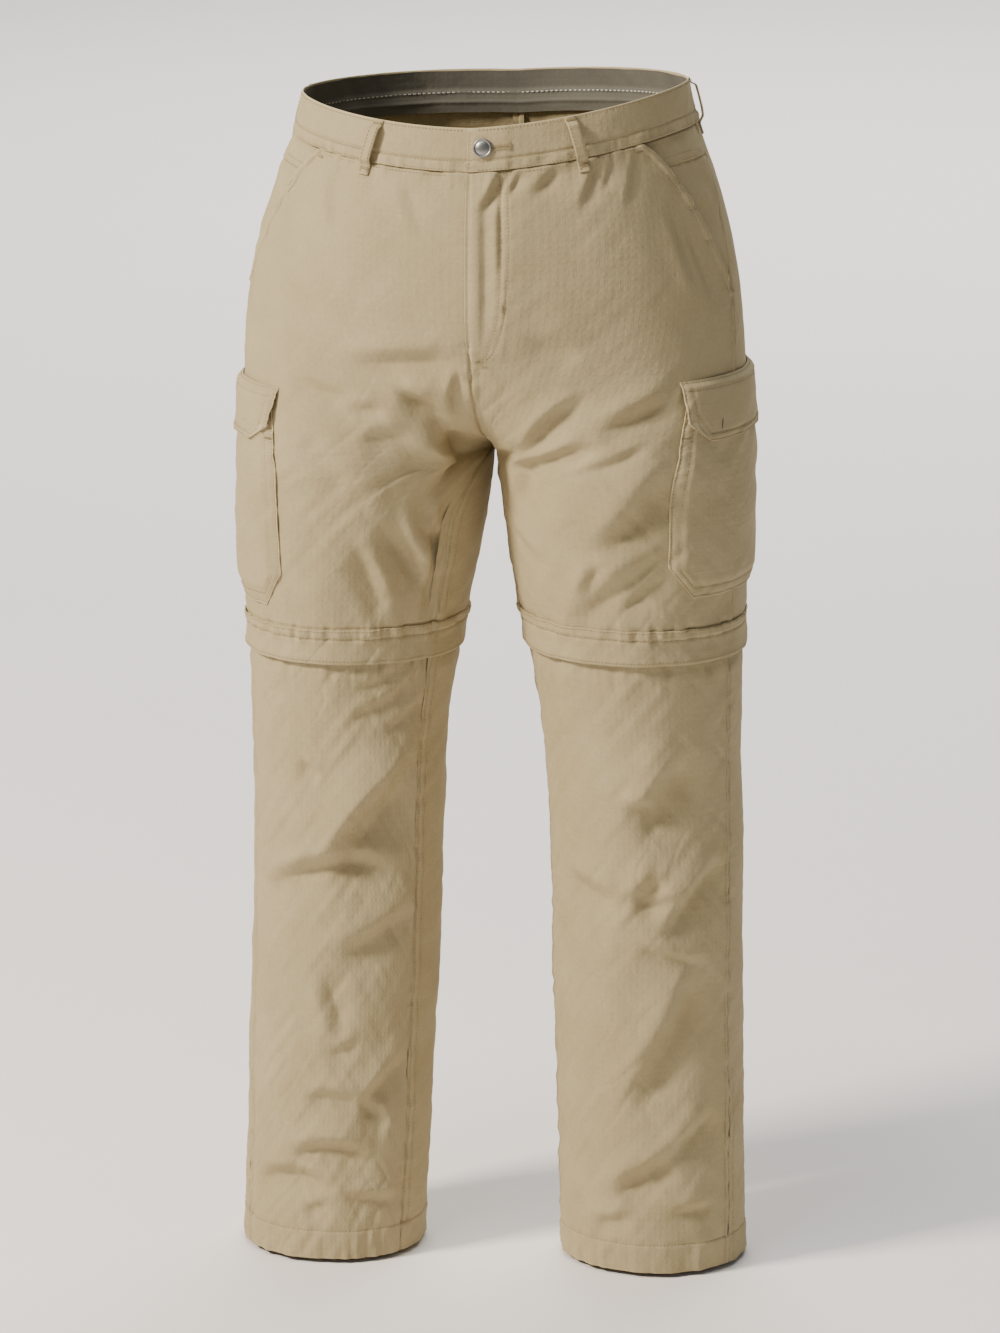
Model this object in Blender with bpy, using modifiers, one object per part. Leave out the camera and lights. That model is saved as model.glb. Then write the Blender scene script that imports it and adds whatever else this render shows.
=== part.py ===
"""Convertible zip-off trousers, filled out as worn, with nothing inside them.

Every piece of cloth is a thin closed wall. Its points are worked out from one
surface, which runs through the sections in SECTIONS: q goes once round each half
of the garment (0 at the centre front or inseam, 0.5 at the side seam, 1 at the
centre back or inseam), and v goes down through the rows of the table.
Units are metres, +Z is up, the front faces -Y and the wearer's left is +X.
"""
import bpy
import bmesh
import math
import numpy as np
from collections import namedtuple
from mathutils import Vector

# Cloth and clearances
CLOTH = 0.0015            # one layer of the panels' cotton canvas
THIN_CLOTH = 0.0012       # the linings and facings
GAP = 0.0003              # between pieces that are sewn together
LAYER = CLOTH + GAP       # height of one piece that lies on another
SEAM_Q = 0.0003           # half a seam gap, measured round the garment
SEAM_V = 0.004            # half a seam gap, measured down the garment

# Construction sizes
TURN = 0.55               # cloth round one half of the garment, for the folds' sizes
FOLD_SPREAD = 1.35        # the stations are wide apart, so the folds are drawn this much wider
LAP_Q = 0.006             # how far the left front passes over the right at the fly
FLY_WIDTH_Q = 0.062       # width of the raised fly
FLY_FADE_Q = 0.100        # where the left front is back on the plain surface
FLY_END_V = 3.40          # bottom of the open part of the fly
UNDERLAP_Q = 0.045        # the band's button end, under the left end
HIP_TOP_Q = 0.298         # the slanted hip pocket starts here on the waist seam
HIP_END_V = 3.05          # and ends here on the side seam
ZIP_TOP_V = 8.10          # bottom edge of the upper leg
ZIP_LOW_V = 8.16          # top edge of the zip-off leg
ZIP_FLAP_V = {1: (7.89, 8.19), -1: (8.0, 8.26)}   # top and bottom edge of each zip flap
ANKLE_ZIP_V = 10.35       # top of the slit at the ankle
ANKLE_SLIT_Q = 0.003      # half the width of that slit
POCKET_RISE = 0.0050      # how far the pocket bag stands off the leg
POCKET_FRONT_Q = 0.385    # front edge of the pocket bag at its mouth
POCKET_SPREAD_Q = 0.0185  # how much further forward that edge is at the bottom
POCKET_ROWS_DOWN = {1: -0.05, -1: 0.20}   # each cargo pocket's own height, in rows
LOOP_WIDTH = 0.011
LOOP_Q = 0.1645           # the front belt loops start here at the top
LOOP_LEAN_Q = 0.0155      # and lean outward, by this much in one row
LOOP_RISE = 0.0090        # a belt up to 6 mm thick passes under the loop
BUTTON_DIAMETER = 0.017
RIGHT_LEFT = (("right", -1), ("left", 1))

# Sections from the waist to the hem. Heights and half widths of one half of the
# garment; leg 0 is half of a torso ring, leg 1 is a whole ring round one leg.
Section = namedtuple("Section", "name z_side z_front z_back x_out x_in y_front y_back x_mid "
                                "y_edge_front y_edge_back leg side_seam inseam")
SECTIONS = [
    Section("waist top", 0.000, -0.016, 0.004, 0.175, 0, -0.126, 0.126, 0.086, -0.126, 0.126, 0, 0.490, 0),
    Section("waist seam", -0.038, -0.055, -0.034, 0.184, 0, -0.131, 0.132, 0.090, -0.131, 0.132, 0, 0.487, 0),
    Section("high hip", -0.100, -0.110, -0.095, 0.207, 0, -0.138, 0.150, 0.100, -0.138, 0.150, 0, 0.465, 0),
    Section("hip", -0.172, -0.176, -0.167, 0.224, 0, -0.142, 0.163, 0.107, -0.138, 0.152, 0.10, 0.450, 0),
    Section("seat", -0.240, -0.243, -0.235, 0.230, 0, -0.140, 0.163, 0.114, -0.118, 0.125, 0.40, 0.445, 0),
    Section("fork", -0.299, -0.299, -0.294, 0.233, 0, -0.134, 0.156, 0.121, -0.060, 0.070, 0.80, 0.440, 0),
    Section("crotch", -0.343, -0.328, -0.328, 0.236, 0.002, -0.128, 0.148, 0.124, 0.009, 0.009, 1, 0.440, 0),
    Section("thigh", -0.402, -0.392, -0.392, 0.236, 0.010, -0.121, 0.134, 0.127, 0.006, 0.006, 1, 0.440, 1),
    Section("zip line", -0.482, -0.480, -0.480, 0.232, 0.027, -0.108, 0.113, 0.132, 0.002, 0.002, 1, 0.440, 1),
    Section("knee", -0.608, -0.608, -0.608, 0.229, 0.047, -0.093, 0.092, 0.140, 0, 0, 1, 0.436, 1),
    Section("calf", -0.824, -0.824, -0.824, 0.233, 0.056, -0.084, 0.084, 0.146, 0, 0, 1, 0.430, 1),
    Section("hem", -1.095, -1.095, -1.095, 0.239, 0.065, -0.080, 0.080, 0.152, 0, 0, 1, 0.420, 1),
]
CROTCH = 6
INSEAM_TURN = {1: 0.030, -1: 0.095}   # how far forward each leg's inseam comes

# How the legs hang: sideways and forward shift of each leg by its drop from the waist
Stance = namedtuple("Stance", "drop right_x left_x right_ahead")
STANCE = [
    Stance(0.300, 0, 0, 0),
    Stance(0.482, 0, 0, 0),
    Stance(0.700, 0.003, 0.003, 0.004),
    Stance(0.824, 0.003, 0.001, 0.006),
    Stance(1.095, -0.001, 0.000, 0.013),
]
LEFT_WAIST_UP = 0.014     # how much higher the waist sits over the left hip

# The largest folds, in metres but for q: a trough has a negative height. A fold
# runs from (q0, drop0) to (q1, drop1) and is bent sideways by bow in its middle.
Fold = namedtuple("Fold", "side q0 drop0 q1 drop1 bow width height")
FOLDS = [
    # right leg, front of the thigh
    Fold(-1, 0.217, 0.231, 0.030, 0.220, 0.000, 0.013, -0.0050),
    Fold(-1, 0.147, 0.255, 0.072, 0.266, 0.000, 0.012, -0.0040),
    Fold(-1, 0.238, 0.305, 0.160, 0.300, -0.004, 0.014, -0.0040),
    Fold(-1, 0.095, 0.285, 0.085, 0.362, 0.000, 0.019, -0.0085),
    Fold(-1, 0.036, 0.375, 0.034, 0.470, 0.000, 0.013, -0.0045),
    Fold(-1, 0.177, 0.393, 0.040, 0.458, -0.003, 0.013, -0.0050),
    Fold(-1, 0.240, 0.412, 0.158, 0.466, 0.000, 0.013, -0.0045),
    # left leg, front of the thigh
    Fold(1, 0.160, 0.290, 0.220, 0.258, 0.000, 0.013, -0.0050),
    Fold(1, 0.145, 0.380, 0.242, 0.299, -0.004, 0.014, -0.0050),
    Fold(1, 0.260, 0.284, 0.357, 0.260, 0.000, 0.013, -0.0045),
    Fold(1, 0.268, 0.402, 0.378, 0.328, -0.006, 0.015, -0.0070),
    Fold(1, 0.208, 0.468, 0.375, 0.400, 0.000, 0.014, -0.0055),
    # right lower leg
    Fold(-1, 0.020, 0.590, 0.278, 0.689, 0.012, 0.020, 0.0060),
    Fold(-1, 0.030, 0.642, 0.240, 0.714, 0.006, 0.024, -0.0090),
    Fold(-1, 0.427, 0.738, 0.090, 0.718, -0.016, 0.014, -0.0070),
    Fold(-1, 0.242, 0.800, 0.010, 0.762, 0.000, 0.017, -0.0055),
    Fold(-1, 0.275, 0.815, 0.220, 0.870, 0.000, 0.016, -0.0045),
    Fold(-1, 0.010, 0.903, 0.165, 0.946, 0.000, 0.016, -0.0060),
    Fold(-1, 0.360, 0.998, 0.140, 0.998, -0.010, 0.013, -0.0065),
    Fold(-1, 0.445, 1.025, 0.240, 1.028, -0.010, 0.012, -0.0055),
    # left lower leg
    Fold(1, 0.300, 0.672, 0.405, 0.598, 0.000, 0.022, -0.0085),
    Fold(1, 0.278, 0.738, 0.333, 0.712, 0.000, 0.013, -0.0050),
    Fold(1, 0.348, 0.768, 0.473, 0.700, 0.004, 0.014, -0.0065),
    Fold(1, 0.115, 0.718, 0.242, 0.739, 0.000, 0.014, -0.0045),
    Fold(1, 0.425, 0.800, 0.283, 0.935, 0.004, 0.020, -0.0080),
    Fold(1, 0.235, 1.021, 0.365, 0.981, 0.000, 0.014, -0.0065),
    Fold(1, 0.360, 0.982, 0.460, 0.944, 0.000, 0.014, -0.0055),
    # backs: seat, knees and ankles
    Fold(-1, 0.960, 0.270, 0.760, 0.310, 0.010, 0.018, -0.0060),
    Fold(1, 0.960, 0.275, 0.770, 0.305, 0.010, 0.018, -0.0060),
    Fold(-1, 0.930, 0.330, 0.700, 0.370, 0.008, 0.016, -0.0050),
    Fold(1, 0.940, 0.335, 0.720, 0.385, 0.008, 0.016, -0.0050),
    Fold(-1, 0.900, 0.580, 0.600, 0.600, 0.010, 0.018, -0.0070),
    Fold(1, 0.890, 0.590, 0.620, 0.575, 0.010, 0.018, -0.0065),
    Fold(-1, 0.880, 0.680, 0.640, 0.655, -0.008, 0.016, -0.0055),
    Fold(1, 0.860, 0.655, 0.600, 0.690, -0.006, 0.016, -0.0060),
    Fold(-1, 0.850, 0.880, 0.620, 0.960, 0.006, 0.018, -0.0060),
    Fold(1, 0.870, 0.900, 0.650, 0.850, 0.006, 0.018, -0.0060),
    Fold(-1, 0.900, 1.020, 0.640, 1.035, 0.006, 0.014, -0.0060),
    Fold(1, 0.880, 1.035, 0.610, 1.015, 0.006, 0.014, -0.0060),
]

# Stations round the garment, shared by every piece so that the layers follow each other
FRONT_Q = [0.0, 0.012, 0.062, 0.100, 0.150, 0.200, 0.250, 0.310, 0.380, 0.415, 0.450, 0.488, 0.5]
BACK_Q = [0.5, 0.512, 0.560, 0.630, 0.700, 0.770, 0.840, 0.920, 0.988, 1.0]
HIP_V = [1.0, 1.22, 1.5, 1.9, 2.3, 2.65, 2.92, 3.05, 3.40, 3.55, 3.80]
SEAT_V = [1.0, 1.22, 1.5, 2.1, 2.7, 3.3, 3.80]
POCKET_COLUMN = FRONT_Q.index(0.380)
THIGH_V = [4.10, 4.45, 4.80, 5.05, 5.45, 5.85, 6.2, 6.6, 7.0, 7.3, 7.62, 7.89, 8.0, ZIP_TOP_V]
LOWER_V = [ZIP_LOW_V, 8.26, 8.5, 8.75, 9.0, 9.14, 9.28, 9.42, 9.56, 9.70, 9.85, 10.0, 10.12, 10.24,
           ANKLE_ZIP_V, 10.46, 10.57, 10.68, 10.79, 10.90, 11.0]

# Colours
KHAKI = (0.45, 0.38, 0.26, 1)
DARK_LINING = (0.10, 0.095, 0.075, 1)
ZIP_TAPE = (0.09, 0.075, 0.055, 1)
STEEL = (0.50, 0.50, 0.50, 1)


def clear_scene():
    for obj in list(bpy.data.objects):
        bpy.data.objects.remove(obj, do_unlink=True)


def smooth(low, high, value):
    """0 below low, 1 above high, and a soft step between them."""
    t = np.clip((value - low) / (high - low), 0, 1)
    return t * t * (3 - 2 * t)


TABLE = np.array([row[1:] for row in SECTIONS], float)


def table_slopes():
    """Slopes at the rows that never overshoot, as the harmonic mean of both sides."""
    steps = np.diff(TABLE, axis=0)
    slopes = np.zeros_like(TABLE)
    before, after = steps[:-1], steps[1:]
    same = before * after > 0
    total = np.where(same, before + after, 1)
    slopes[1:-1] = np.where(same, 2 * before * after / total, 0)
    slopes[0], slopes[-1] = steps[0], steps[-1]
    return slopes


SLOPES = table_slopes()


def section(v):
    """The table's values at v, on a smooth curve through its rows."""
    row = np.clip(np.floor(v).astype(int), 0, len(TABLE) - 2)
    t = (v - row)[..., None]
    a = (2 * t**3 - 3 * t**2 + 1) * TABLE[row] + (t**3 - 2 * t**2 + t) * SLOPES[row]
    b = (3 * t**2 - 2 * t**3) * TABLE[row + 1] + (t**3 - t**2) * SLOPES[row + 1]
    return Section("at v", *np.moveaxis(a + b, -1, 0))


def turn_share(side, q, at, v):
    """From q, which is even on the panels, to the share of the turn on the form."""
    # the inseam comes forward quickly below the crotch
    forward = np.clip(at.inseam, 0, 1) ** 0.35
    inseam = forward * np.where(side > 0, INSEAM_TURN[1], INSEAM_TURN[-1])
    half = np.where(q < 0.5, q, q - 0.5) / 0.5
    front = at.side_seam * half + inseam * (1 - half)**2
    back = at.side_seam + (1 - at.side_seam) * half + inseam * half**2
    share = np.where(q < 0.5, front, back)
    return np.where(v >= CROTCH, np.mod(share, 1.0), share)


def form(side, q, v):
    """A point of the plain form, without folds."""
    side, q, v = np.broadcast_arrays(np.asarray(side, float), np.asarray(q, float), np.asarray(v, float))
    at = section(v)
    share = turn_share(side, q, at, v)
    over = np.where(share < 0, -1, 1)
    share = np.abs(share)
    front = share <= 0.5
    u = np.where(front, share, 1 - share) * 2
    y_far = np.where(front, at.y_front, at.y_back)
    y_edge = np.where(front | (v >= CROTCH), at.y_edge_front, at.y_edge_back)
    z_edge = np.where(front, at.z_front, at.z_back)
    # half of a torso ring, from the centre line to the side
    torso_x = at.x_out * np.sin(u * math.pi / 2)
    torso_y = y_far * np.cos(u * math.pi / 2)
    # half of a leg ring, from the inseam to the side
    inner = u < 0.5
    radius = np.where(inner, at.x_mid - at.x_in, at.x_out - at.x_mid)
    leg_x = at.x_mid - radius * np.cos(u * math.pi)
    y_start = np.where(inner, y_edge, 0)
    leg_y = y_start + (y_far - y_start) * np.sin(u * math.pi)
    x = (1 - at.leg) * torso_x + at.leg * leg_x
    y = (1 - at.leg) * torso_y + at.leg * leg_y
    z = z_edge + (at.z_side - z_edge) * (0.5 - 0.5 * np.cos(u * math.pi))
    drops = [row.drop for row in STANCE]
    right_x = np.interp(-z, drops, [row.right_x for row in STANCE])
    left_x = np.interp(-z, drops, [row.left_x for row in STANCE])
    ahead = np.interp(-z, drops, [row.right_ahead for row in STANCE]) * (side < 0)
    x = side * over * (x + GAP / 2) + np.where(side > 0, left_x, right_x)
    z = z + LEFT_WAIST_UP * np.clip(x / SECTIONS[0].x_out, 0, 1) * (1 - smooth(0.8, 3.2, v))
    return np.stack([x, y - ahead, z], -1)


def outward(side, q, v):
    """The plain form's outward normal."""
    step = 0.004
    round_it = form(side, q + step, v) - form(side, q - step, v)
    down_it = form(side, q, np.minimum(v + step, 11)) - form(side, q, np.maximum(v - step, 0))
    normal = np.cross(down_it, round_it) * np.asarray(side, float)[..., None]
    return normal / np.linalg.norm(normal, axis=-1, keepdims=True)


def fold_height(side, q, v):
    """How far the folds lift the cloth off the plain form."""
    drop = -section(v).z_side
    height = np.zeros_like(q)
    for fold in FOLDS:
        along_x, along_y = (fold.q1 - fold.q0) * TURN, fold.drop1 - fold.drop0
        length = math.hypot(along_x, along_y)
        dx, dy = (q - fold.q0) * TURN, drop - fold.drop0
        t = (dx * along_x + dy * along_y) / length**2
        across = (dx * along_y - dy * along_x) / length - fold.bow * np.sin(math.pi * np.clip(t, 0, 1))
        ends = smooth(-0.12, 0.3, t) * (1 - smooth(0.7, 1.12, t))
        crest = np.exp(-(across / (fold.width * FOLD_SPREAD))**2)
        height += fold.height * ends * crest * (side == fold.side)
    # the panels' edges at the crotch, the waist and the zip stay on the plain form
    calm = smooth(1.2, 1.8, v) * smooth(0.0, 0.03, np.minimum(q, 1 - q) + 0.005 * (v > CROTCH))
    return height * calm


def surface(side, q, v, out):
    """A point that lies out from the garment's surface."""
    side, q, v, out = np.broadcast_arrays(*(np.asarray(a, float) for a in (side, q, v, out)))
    lift = out + fold_height(side, q, v)
    return form(side, q, v) + outward(side, q, v) * lift[..., None]


def material(name, colour, roughness, metallic=0.0):
    mat = bpy.data.materials.new(name)
    mat.use_nodes = True
    shader = mat.node_tree.nodes["Principled BSDF"]
    shader.inputs["Base Color"].default_value = colour
    shader.inputs["Roughness"].default_value = roughness
    shader.inputs["Metallic"].default_value = metallic
    return mat


def add_object(name, mesh, collection, colour, roughness=0.9, metallic=0.0):
    obj = bpy.data.objects.new(name, mesh)
    obj.data.materials.append(material(name, colour, roughness, metallic))
    collection.objects.link(obj)
    return obj


def wall(name, collection, columns, rows, out, thickness=CLOTH, bottom=None, ring=False, colour=KHAKI):
    """A closed cloth wall over a grid of stations.

    columns holds (side, q) pairs or functions of v that give them, rows holds v, and
    out(side, q, v) is how far the outer face stands off. bottom(q) says where each
    column ends if not at the last row: its lower rows then move up. ring joins the
    last column to the first.
    """
    v = np.tile(np.array(rows, float), (len(columns), 1))
    if bottom:
        ends = np.array([(c(rows[-1]) if callable(c) else c)[1] for c in columns])
        middle = rows[len(rows) // 2]
        reach = (bottom(ends) - middle) / (rows[-1] - middle)
        v = np.where(v > middle, middle + (v - middle) * reach[:, None], v)
    stations = [[c(at) if callable(c) else c for at in line] for c, line in zip(columns, v)]
    side = np.array([[p[0] for p in line] for line in stations], float)
    q = np.array([[p[1] for p in line] for line in stations], float)
    lift = out(side, q, v) if callable(out) else np.full(q.shape, out)
    outer = surface(side, q, v, lift)
    inner = surface(side, q, v, lift - thickness)
    count_c, count_r = q.shape
    faces = []
    for c in range(count_c if ring else count_c - 1):
        for r in range(count_r - 1):
            n = (c + 1) % count_c
            a, b, d, e = (c, r), (n, r), (n, r + 1), (c, r + 1)
            faces += [(a, b, d), (a, d, e)]
    used = sorted({p for face in faces for p in face})
    turned = side[used[0]] * (q[1, 0] - q[0, 0]) > 0
    bm = bmesh.new()
    outer_vert = {p: bm.verts.new(outer[p]) for p in used}
    inner_vert = {p: bm.verts.new(inner[p]) for p in used}
    edges = {}
    for face in faces:
        face = face if not turned else face[::-1]
        bm.faces.new([outer_vert[p] for p in face])
        bm.faces.new([inner_vert[p] for p in face[::-1]])
        for first, second in zip(face, face[1:] + face[:1]):
            edges[first, second] = True
    for first, second in edges:
        if (second, first) not in edges:
            bm.faces.new([outer_vert[second], outer_vert[first], inner_vert[first], inner_vert[second]])
    mesh = bpy.data.meshes.new(name)
    bm.to_mesh(mesh)
    bm.free()
    mesh.shade_smooth()
    mesh.set_sharp_from_angle(angle=math.radians(40))
    return add_object(name, mesh, collection, colour)


def hip_edge(v):
    """Where the front panel ends: the pocket's slant, then the side seam."""
    share = np.clip((v - 1) / (HIP_END_V - 1), 0, 1) ** 0.9
    return HIP_TOP_Q + (0.5 - HIP_TOP_Q) * share


def fly_rise(side, q, v):
    """The left front's edge is raised over the fly facing and the right front."""
    fly = (1 - smooth(FLY_WIDTH_Q, FLY_FADE_Q, q)) * (1 - smooth(3.55, 3.80, v))
    return LAYER * fly * (side > 0) * (q < 0.5)


def bag_front(v):
    """The front edge of the cargo pocket, which the front panel has a column below."""
    return POCKET_FRONT_Q - POCKET_SPREAD_Q * smooth(5.2, 7.4, v)


def front_columns(side):
    """Front panel columns, squeezed where the hip pocket cuts the panel away."""
    down = POCKET_ROWS_DOWN[side]

    def station(share, first, last):
        def at(v):
            edge = hip_edge(v) if v < HIP_END_V else 0.5
            start = -LAP_Q if first and side > 0 and v <= FLY_END_V else SEAM_Q
            if first:
                return side, start
            if last:
                return side, edge - (SEAM_Q if edge > 0.499 else 0)
            follows = share == FRONT_Q[POCKET_COLUMN] and HIP_END_V < v < THIGH_V[-3]
            return side, bag_front(v - down) if follows else share * edge / 0.5
        return at
    last = len(FRONT_Q) - 1
    return [station(share, i == 0, i == last) for i, share in enumerate(FRONT_Q)]


def below_waist_seam(rows):
    """Rows that start half a seam gap below the waist seam."""
    return [rows[0] + SEAM_V] + rows[1:]


def pocket_rows(side, rows):
    """Rows of the thigh, moved to the height of this side's cargo pocket."""
    return [v + POCKET_ROWS_DOWN[side] for v in rows]


def upper_panels(collection):
    for word, side in RIGHT_LEFT:
        thigh = pocket_rows(side, THIGH_V[:-3]) + THIGH_V[-3:]
        wall(f"front_{word}", collection, front_columns(side), below_waist_seam(HIP_V) + thigh, fly_rise)
        columns = [(side, q) for q in [0.5 + SEAM_Q] + BACK_Q[1:-1] + [1 - SEAM_Q]]
        wall(f"back_{word}", collection, columns, below_waist_seam(SEAT_V) + thigh, 0.0)


def lower_panels(collection):
    for word, side in RIGHT_LEFT:
        def slit(sign, side=side):
            def at(v):
                return side, 0.5 + sign * (ANKLE_SLIT_Q if v > ANKLE_ZIP_V else SEAM_Q)
            return at
        front = [(side, SEAM_Q)] + [(side, q) for q in FRONT_Q[1:-1]] + [slit(-1)]
        back = [slit(1)] + [(side, q) for q in BACK_Q[1:-1]] + [(side, 1 - SEAM_Q)]
        wall(f"lower_front_{word}", collection, front, LOWER_V, 0.0)
        wall(f"lower_back_{word}", collection, back, LOWER_V, 0.0)


def band_columns(first_left, last_right):
    """Once round the waist, from the left front over the back to the right front."""
    left = [(1, q) for q in [first_left] + [q for q in FRONT_Q + BACK_Q[1:-1] if q > first_left + 0.004]]
    right = [(-1, q) for q in reversed(FRONT_Q + BACK_Q[1:]) if q > last_right + 0.004]
    return left + right + [(-1, last_right)]


def waistband(collection):
    rows = [0.0, 0.12, 0.85, 1 - SEAM_V]
    under = [(1, q) for q in (0.002, 0.012, 0.030, UNDERLAP_Q)]
    columns = band_columns(-LAP_Q, 0.012) + under
    start_of_under = len(columns) - len(under)

    def rise(side, q, v):
        lift = fly_rise(side, q, v)
        lift[start_of_under:] = 0
        return lift
    wall("waistband", collection, columns, rows, rise)
    # the lining ends at the waist seam, where it dips behind the panels' edges
    lining_rows = [0.03, 0.45, 0.85, 1.04]
    wall("waistband_lining", collection, band_columns(FLY_FADE_Q + 0.01, 0.012), lining_rows,
         lambda side, q, v: -LAYER * (1 + 1.4 * smooth(0.45, 0.85, v)), THIN_CLOTH, colour=DARK_LINING)


def fly_facing(collection):
    columns = [(1, q) for q in (0.002, 0.012, 0.030, 0.052)]
    rows = [v for v in below_waist_seam(HIP_V) if v < FLY_END_V] + [FLY_END_V - 0.02]
    wall("fly_facing", collection, columns, rows, 0.0, THIN_CLOTH,
         bottom=lambda q: rows[-1] - 0.33 * smooth(0.030, 0.052, q))


def hip_facings(collection):
    rows = [v for v in below_waist_seam(HIP_V) if v < HIP_END_V]

    def rise(side, q, v):
        edge = hip_edge(v)
        flush = smooth(0.0, 1.0, (q - edge) / (0.5 - edge)) * (1 - smooth(2.1, 2.75, v))
        return -LAYER * (1 - flush)

    for word, side in RIGHT_LEFT:
        def under(station, side=side):
            return lambda v: (side, hip_edge(v) * station / 0.5)

        def open_part(share, side=side):
            return lambda v: (side, hip_edge(v) + share * (0.5 - SEAM_Q - hip_edge(v)))
        columns = [under(station) for station in FRONT_Q[-3:-1]]
        columns += [open_part(share) for share in (0, 0.35, 0.7, 1)]
        wall(f"hip_facing_{word}", collection, columns, rows, rise, THIN_CLOTH)


def belt_loop(name, collection, side, q, lean=0.0):
    half = LOOP_WIDTH / 2 / TURN * (0.55 / 0.60)
    rows = [0.02, 0.12, 0.22, 0.5, 0.8, 0.96, 1.06, 1.22]
    rises = [LAYER, LAYER, LOOP_RISE - 0.0006, LOOP_RISE, LOOP_RISE, LOOP_RISE - 0.0006, LAYER, LAYER]

    def rise(side, q, v):
        return np.interp(v, rows, rises)
    def edge(offset):
        return lambda v: (side, q + lean * v + offset)
    wall(name, collection, [edge(-half), edge(half)], rows, rise)


def belt_loops(collection):
    for word, side in RIGHT_LEFT:
        belt_loop(f"belt_loop_front_{word}", collection, side, LOOP_Q, LOOP_LEAN_Q)
        belt_loop(f"belt_loop_side_{word}", collection, side, 0.560)
    belt_loop("belt_loop_back", collection, 1, 1.0)


def waist_button(collection):
    place = surface(1, 0.0196, 0.48, LAYER + GAP)
    normal = Vector(outward(np.array(1.0), np.array(0.0196), np.array(0.48)))
    radius = BUTTON_DIAMETER / 2
    # radius share and height, from the rim's under edge over the rim to the dome
    profile = [(0.80, 0.0), (0.95, 0.0008), (1.0, 0.0016), (0.93, 0.0026), (0.80, 0.0024), (0.62, 0.0031),
               (0.34, 0.0036), (0.0, 0.0037)]
    bm = bmesh.new()
    last = bm.verts.new((0, 0, 0))
    for share, height in profile:
        vert = bm.verts.new((share * radius, 0, height))
        bm.edges.new((last, vert))
        last = vert
    mesh = bpy.data.meshes.new("waist_button")
    bm.to_mesh(mesh)
    bm.free()
    obj = add_object("waist_button", mesh, collection, STEEL, 0.35, 1.0)
    turn = obj.modifiers.new("turn", "SCREW")
    turn.steps = turn.render_steps = 16
    turn.use_merge_vertices = True
    turn.merge_threshold = 0.00001
    turn.use_normal_calculate = True
    obj.location = place
    obj.rotation_mode = "QUATERNION"
    obj.rotation_quaternion = normal.to_track_quat("Z", "Y")


# Stations of the cargo pocket behind its front edge, and of its flap
POCKET_Q = [0.415, 0.450, 0.488, 0.5, 0.512, 0.560, 0.600, 0.624, 0.630]
POCKET_V = [4.45, 4.80, 5.05, 5.45, 5.85, 6.2, 6.6, 7.0, 7.3, 7.56, 7.62]
FLAP_Q = [0.364, 0.376, 0.394, 0.425, 0.455, 0.488, 0.5, 0.512, 0.560, 0.606, 0.628, 0.640]
FLAP_V = [4.10, 4.22, 4.45, 4.80, 5.05]
FLAP_CUT_BACK_Q = 0.040   # the flap's front edge runs back by this much on its way down
RIM_Q = 0.006             # width of the bag's sewn-down edge


def cut_corners(first, last, wide, high, bottom):
    """The bottom row of a patch whose two lower corners are cut off."""
    def at(q):
        near = np.minimum(q - first, last - q)
        return bottom - high * np.clip(1 - near / wide, 0, 1)
    return at


def cargo_pocket(word, side, collection):
    """A patch bag, sewn down at three edges and standing off in the middle."""
    down = POCKET_ROWS_DOWN[side]
    rows = pocket_rows(side, POCKET_V)
    bottom = cut_corners(bag_front(rows[-1]), POCKET_Q[-1], 0.040, 0.38, rows[-1])

    def rise(side, q, v):
        inside = np.minimum(smooth(0, 0.010, q - bag_front(v - down)), smooth(0.630, 0.620, q))
        inside = np.minimum(inside, smooth(0, 0.05, bottom(q) - v))
        return LAYER + (POCKET_RISE - LAYER) * inside
    columns = [lambda v: (side, bag_front(v - down)), lambda v: (side, bag_front(v - down) + RIM_Q)]
    wall(f"cargo_pocket_{word}", collection, columns + [(side, q) for q in POCKET_Q], rows, rise, bottom=bottom)


def cargo_flap(word, side, collection):
    """The flap starts on the leg and hangs over the mouth of the bag."""
    rows = pocket_rows(side, FLAP_V)
    bottom = cut_corners(FLAP_Q[0] + FLAP_CUT_BACK_Q, FLAP_Q[-1], 0.025, 0.33, rows[-1])

    def rise(side, q, v):
        ends = np.minimum(smooth(POCKET_FRONT_Q - 0.018, POCKET_FRONT_Q + 0.002, q), smooth(0.648, 0.618, q))
        return LAYER + (POCKET_RISE + 2 * GAP) * smooth(rows[0], rows[1], v) * (0.45 + 0.55 * ends)

    def column(q):
        back = FLAP_CUT_BACK_Q * (1 - smooth(FLAP_Q[0], 0.5, q))
        return lambda v: (side, q + back * (v - rows[0]) / (rows[-1] - rows[0]))
    wall(f"cargo_flap_{word}", collection, [column(q) for q in FLAP_Q], rows, rise, bottom=bottom)


def leg_rings(collection):
    """The strip that covers the thigh zip, and the zip's tape inside it."""
    for word, side in RIGHT_LEFT:
        columns = [(side, q) for q in FRONT_Q + BACK_Q[1:-1]]
        top, bottom = ZIP_FLAP_V[side]
        rows = sorted({top, 8.0, ZIP_TOP_V, ZIP_LOW_V, bottom})
        wall(f"zip_flap_{word}", collection, columns, rows, LAYER, ring=True)
        wall(f"thigh_zip_{word}", collection, columns, [8.0, ZIP_TOP_V, ZIP_LOW_V, 8.26], -LAYER,
             THIN_CLOTH, ring=True, colour=ZIP_TAPE)


def ankle_zips(collection):
    rows = [v for v in LOWER_V if 10.32 < v < 11]
    for word, side in RIGHT_LEFT:
        columns = [(side, q) for q in (0.488, 0.5, 0.512)]
        wall(f"ankle_zip_{word}", collection, columns, rows, -LAYER, THIN_CLOTH, colour=ZIP_TAPE)


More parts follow.
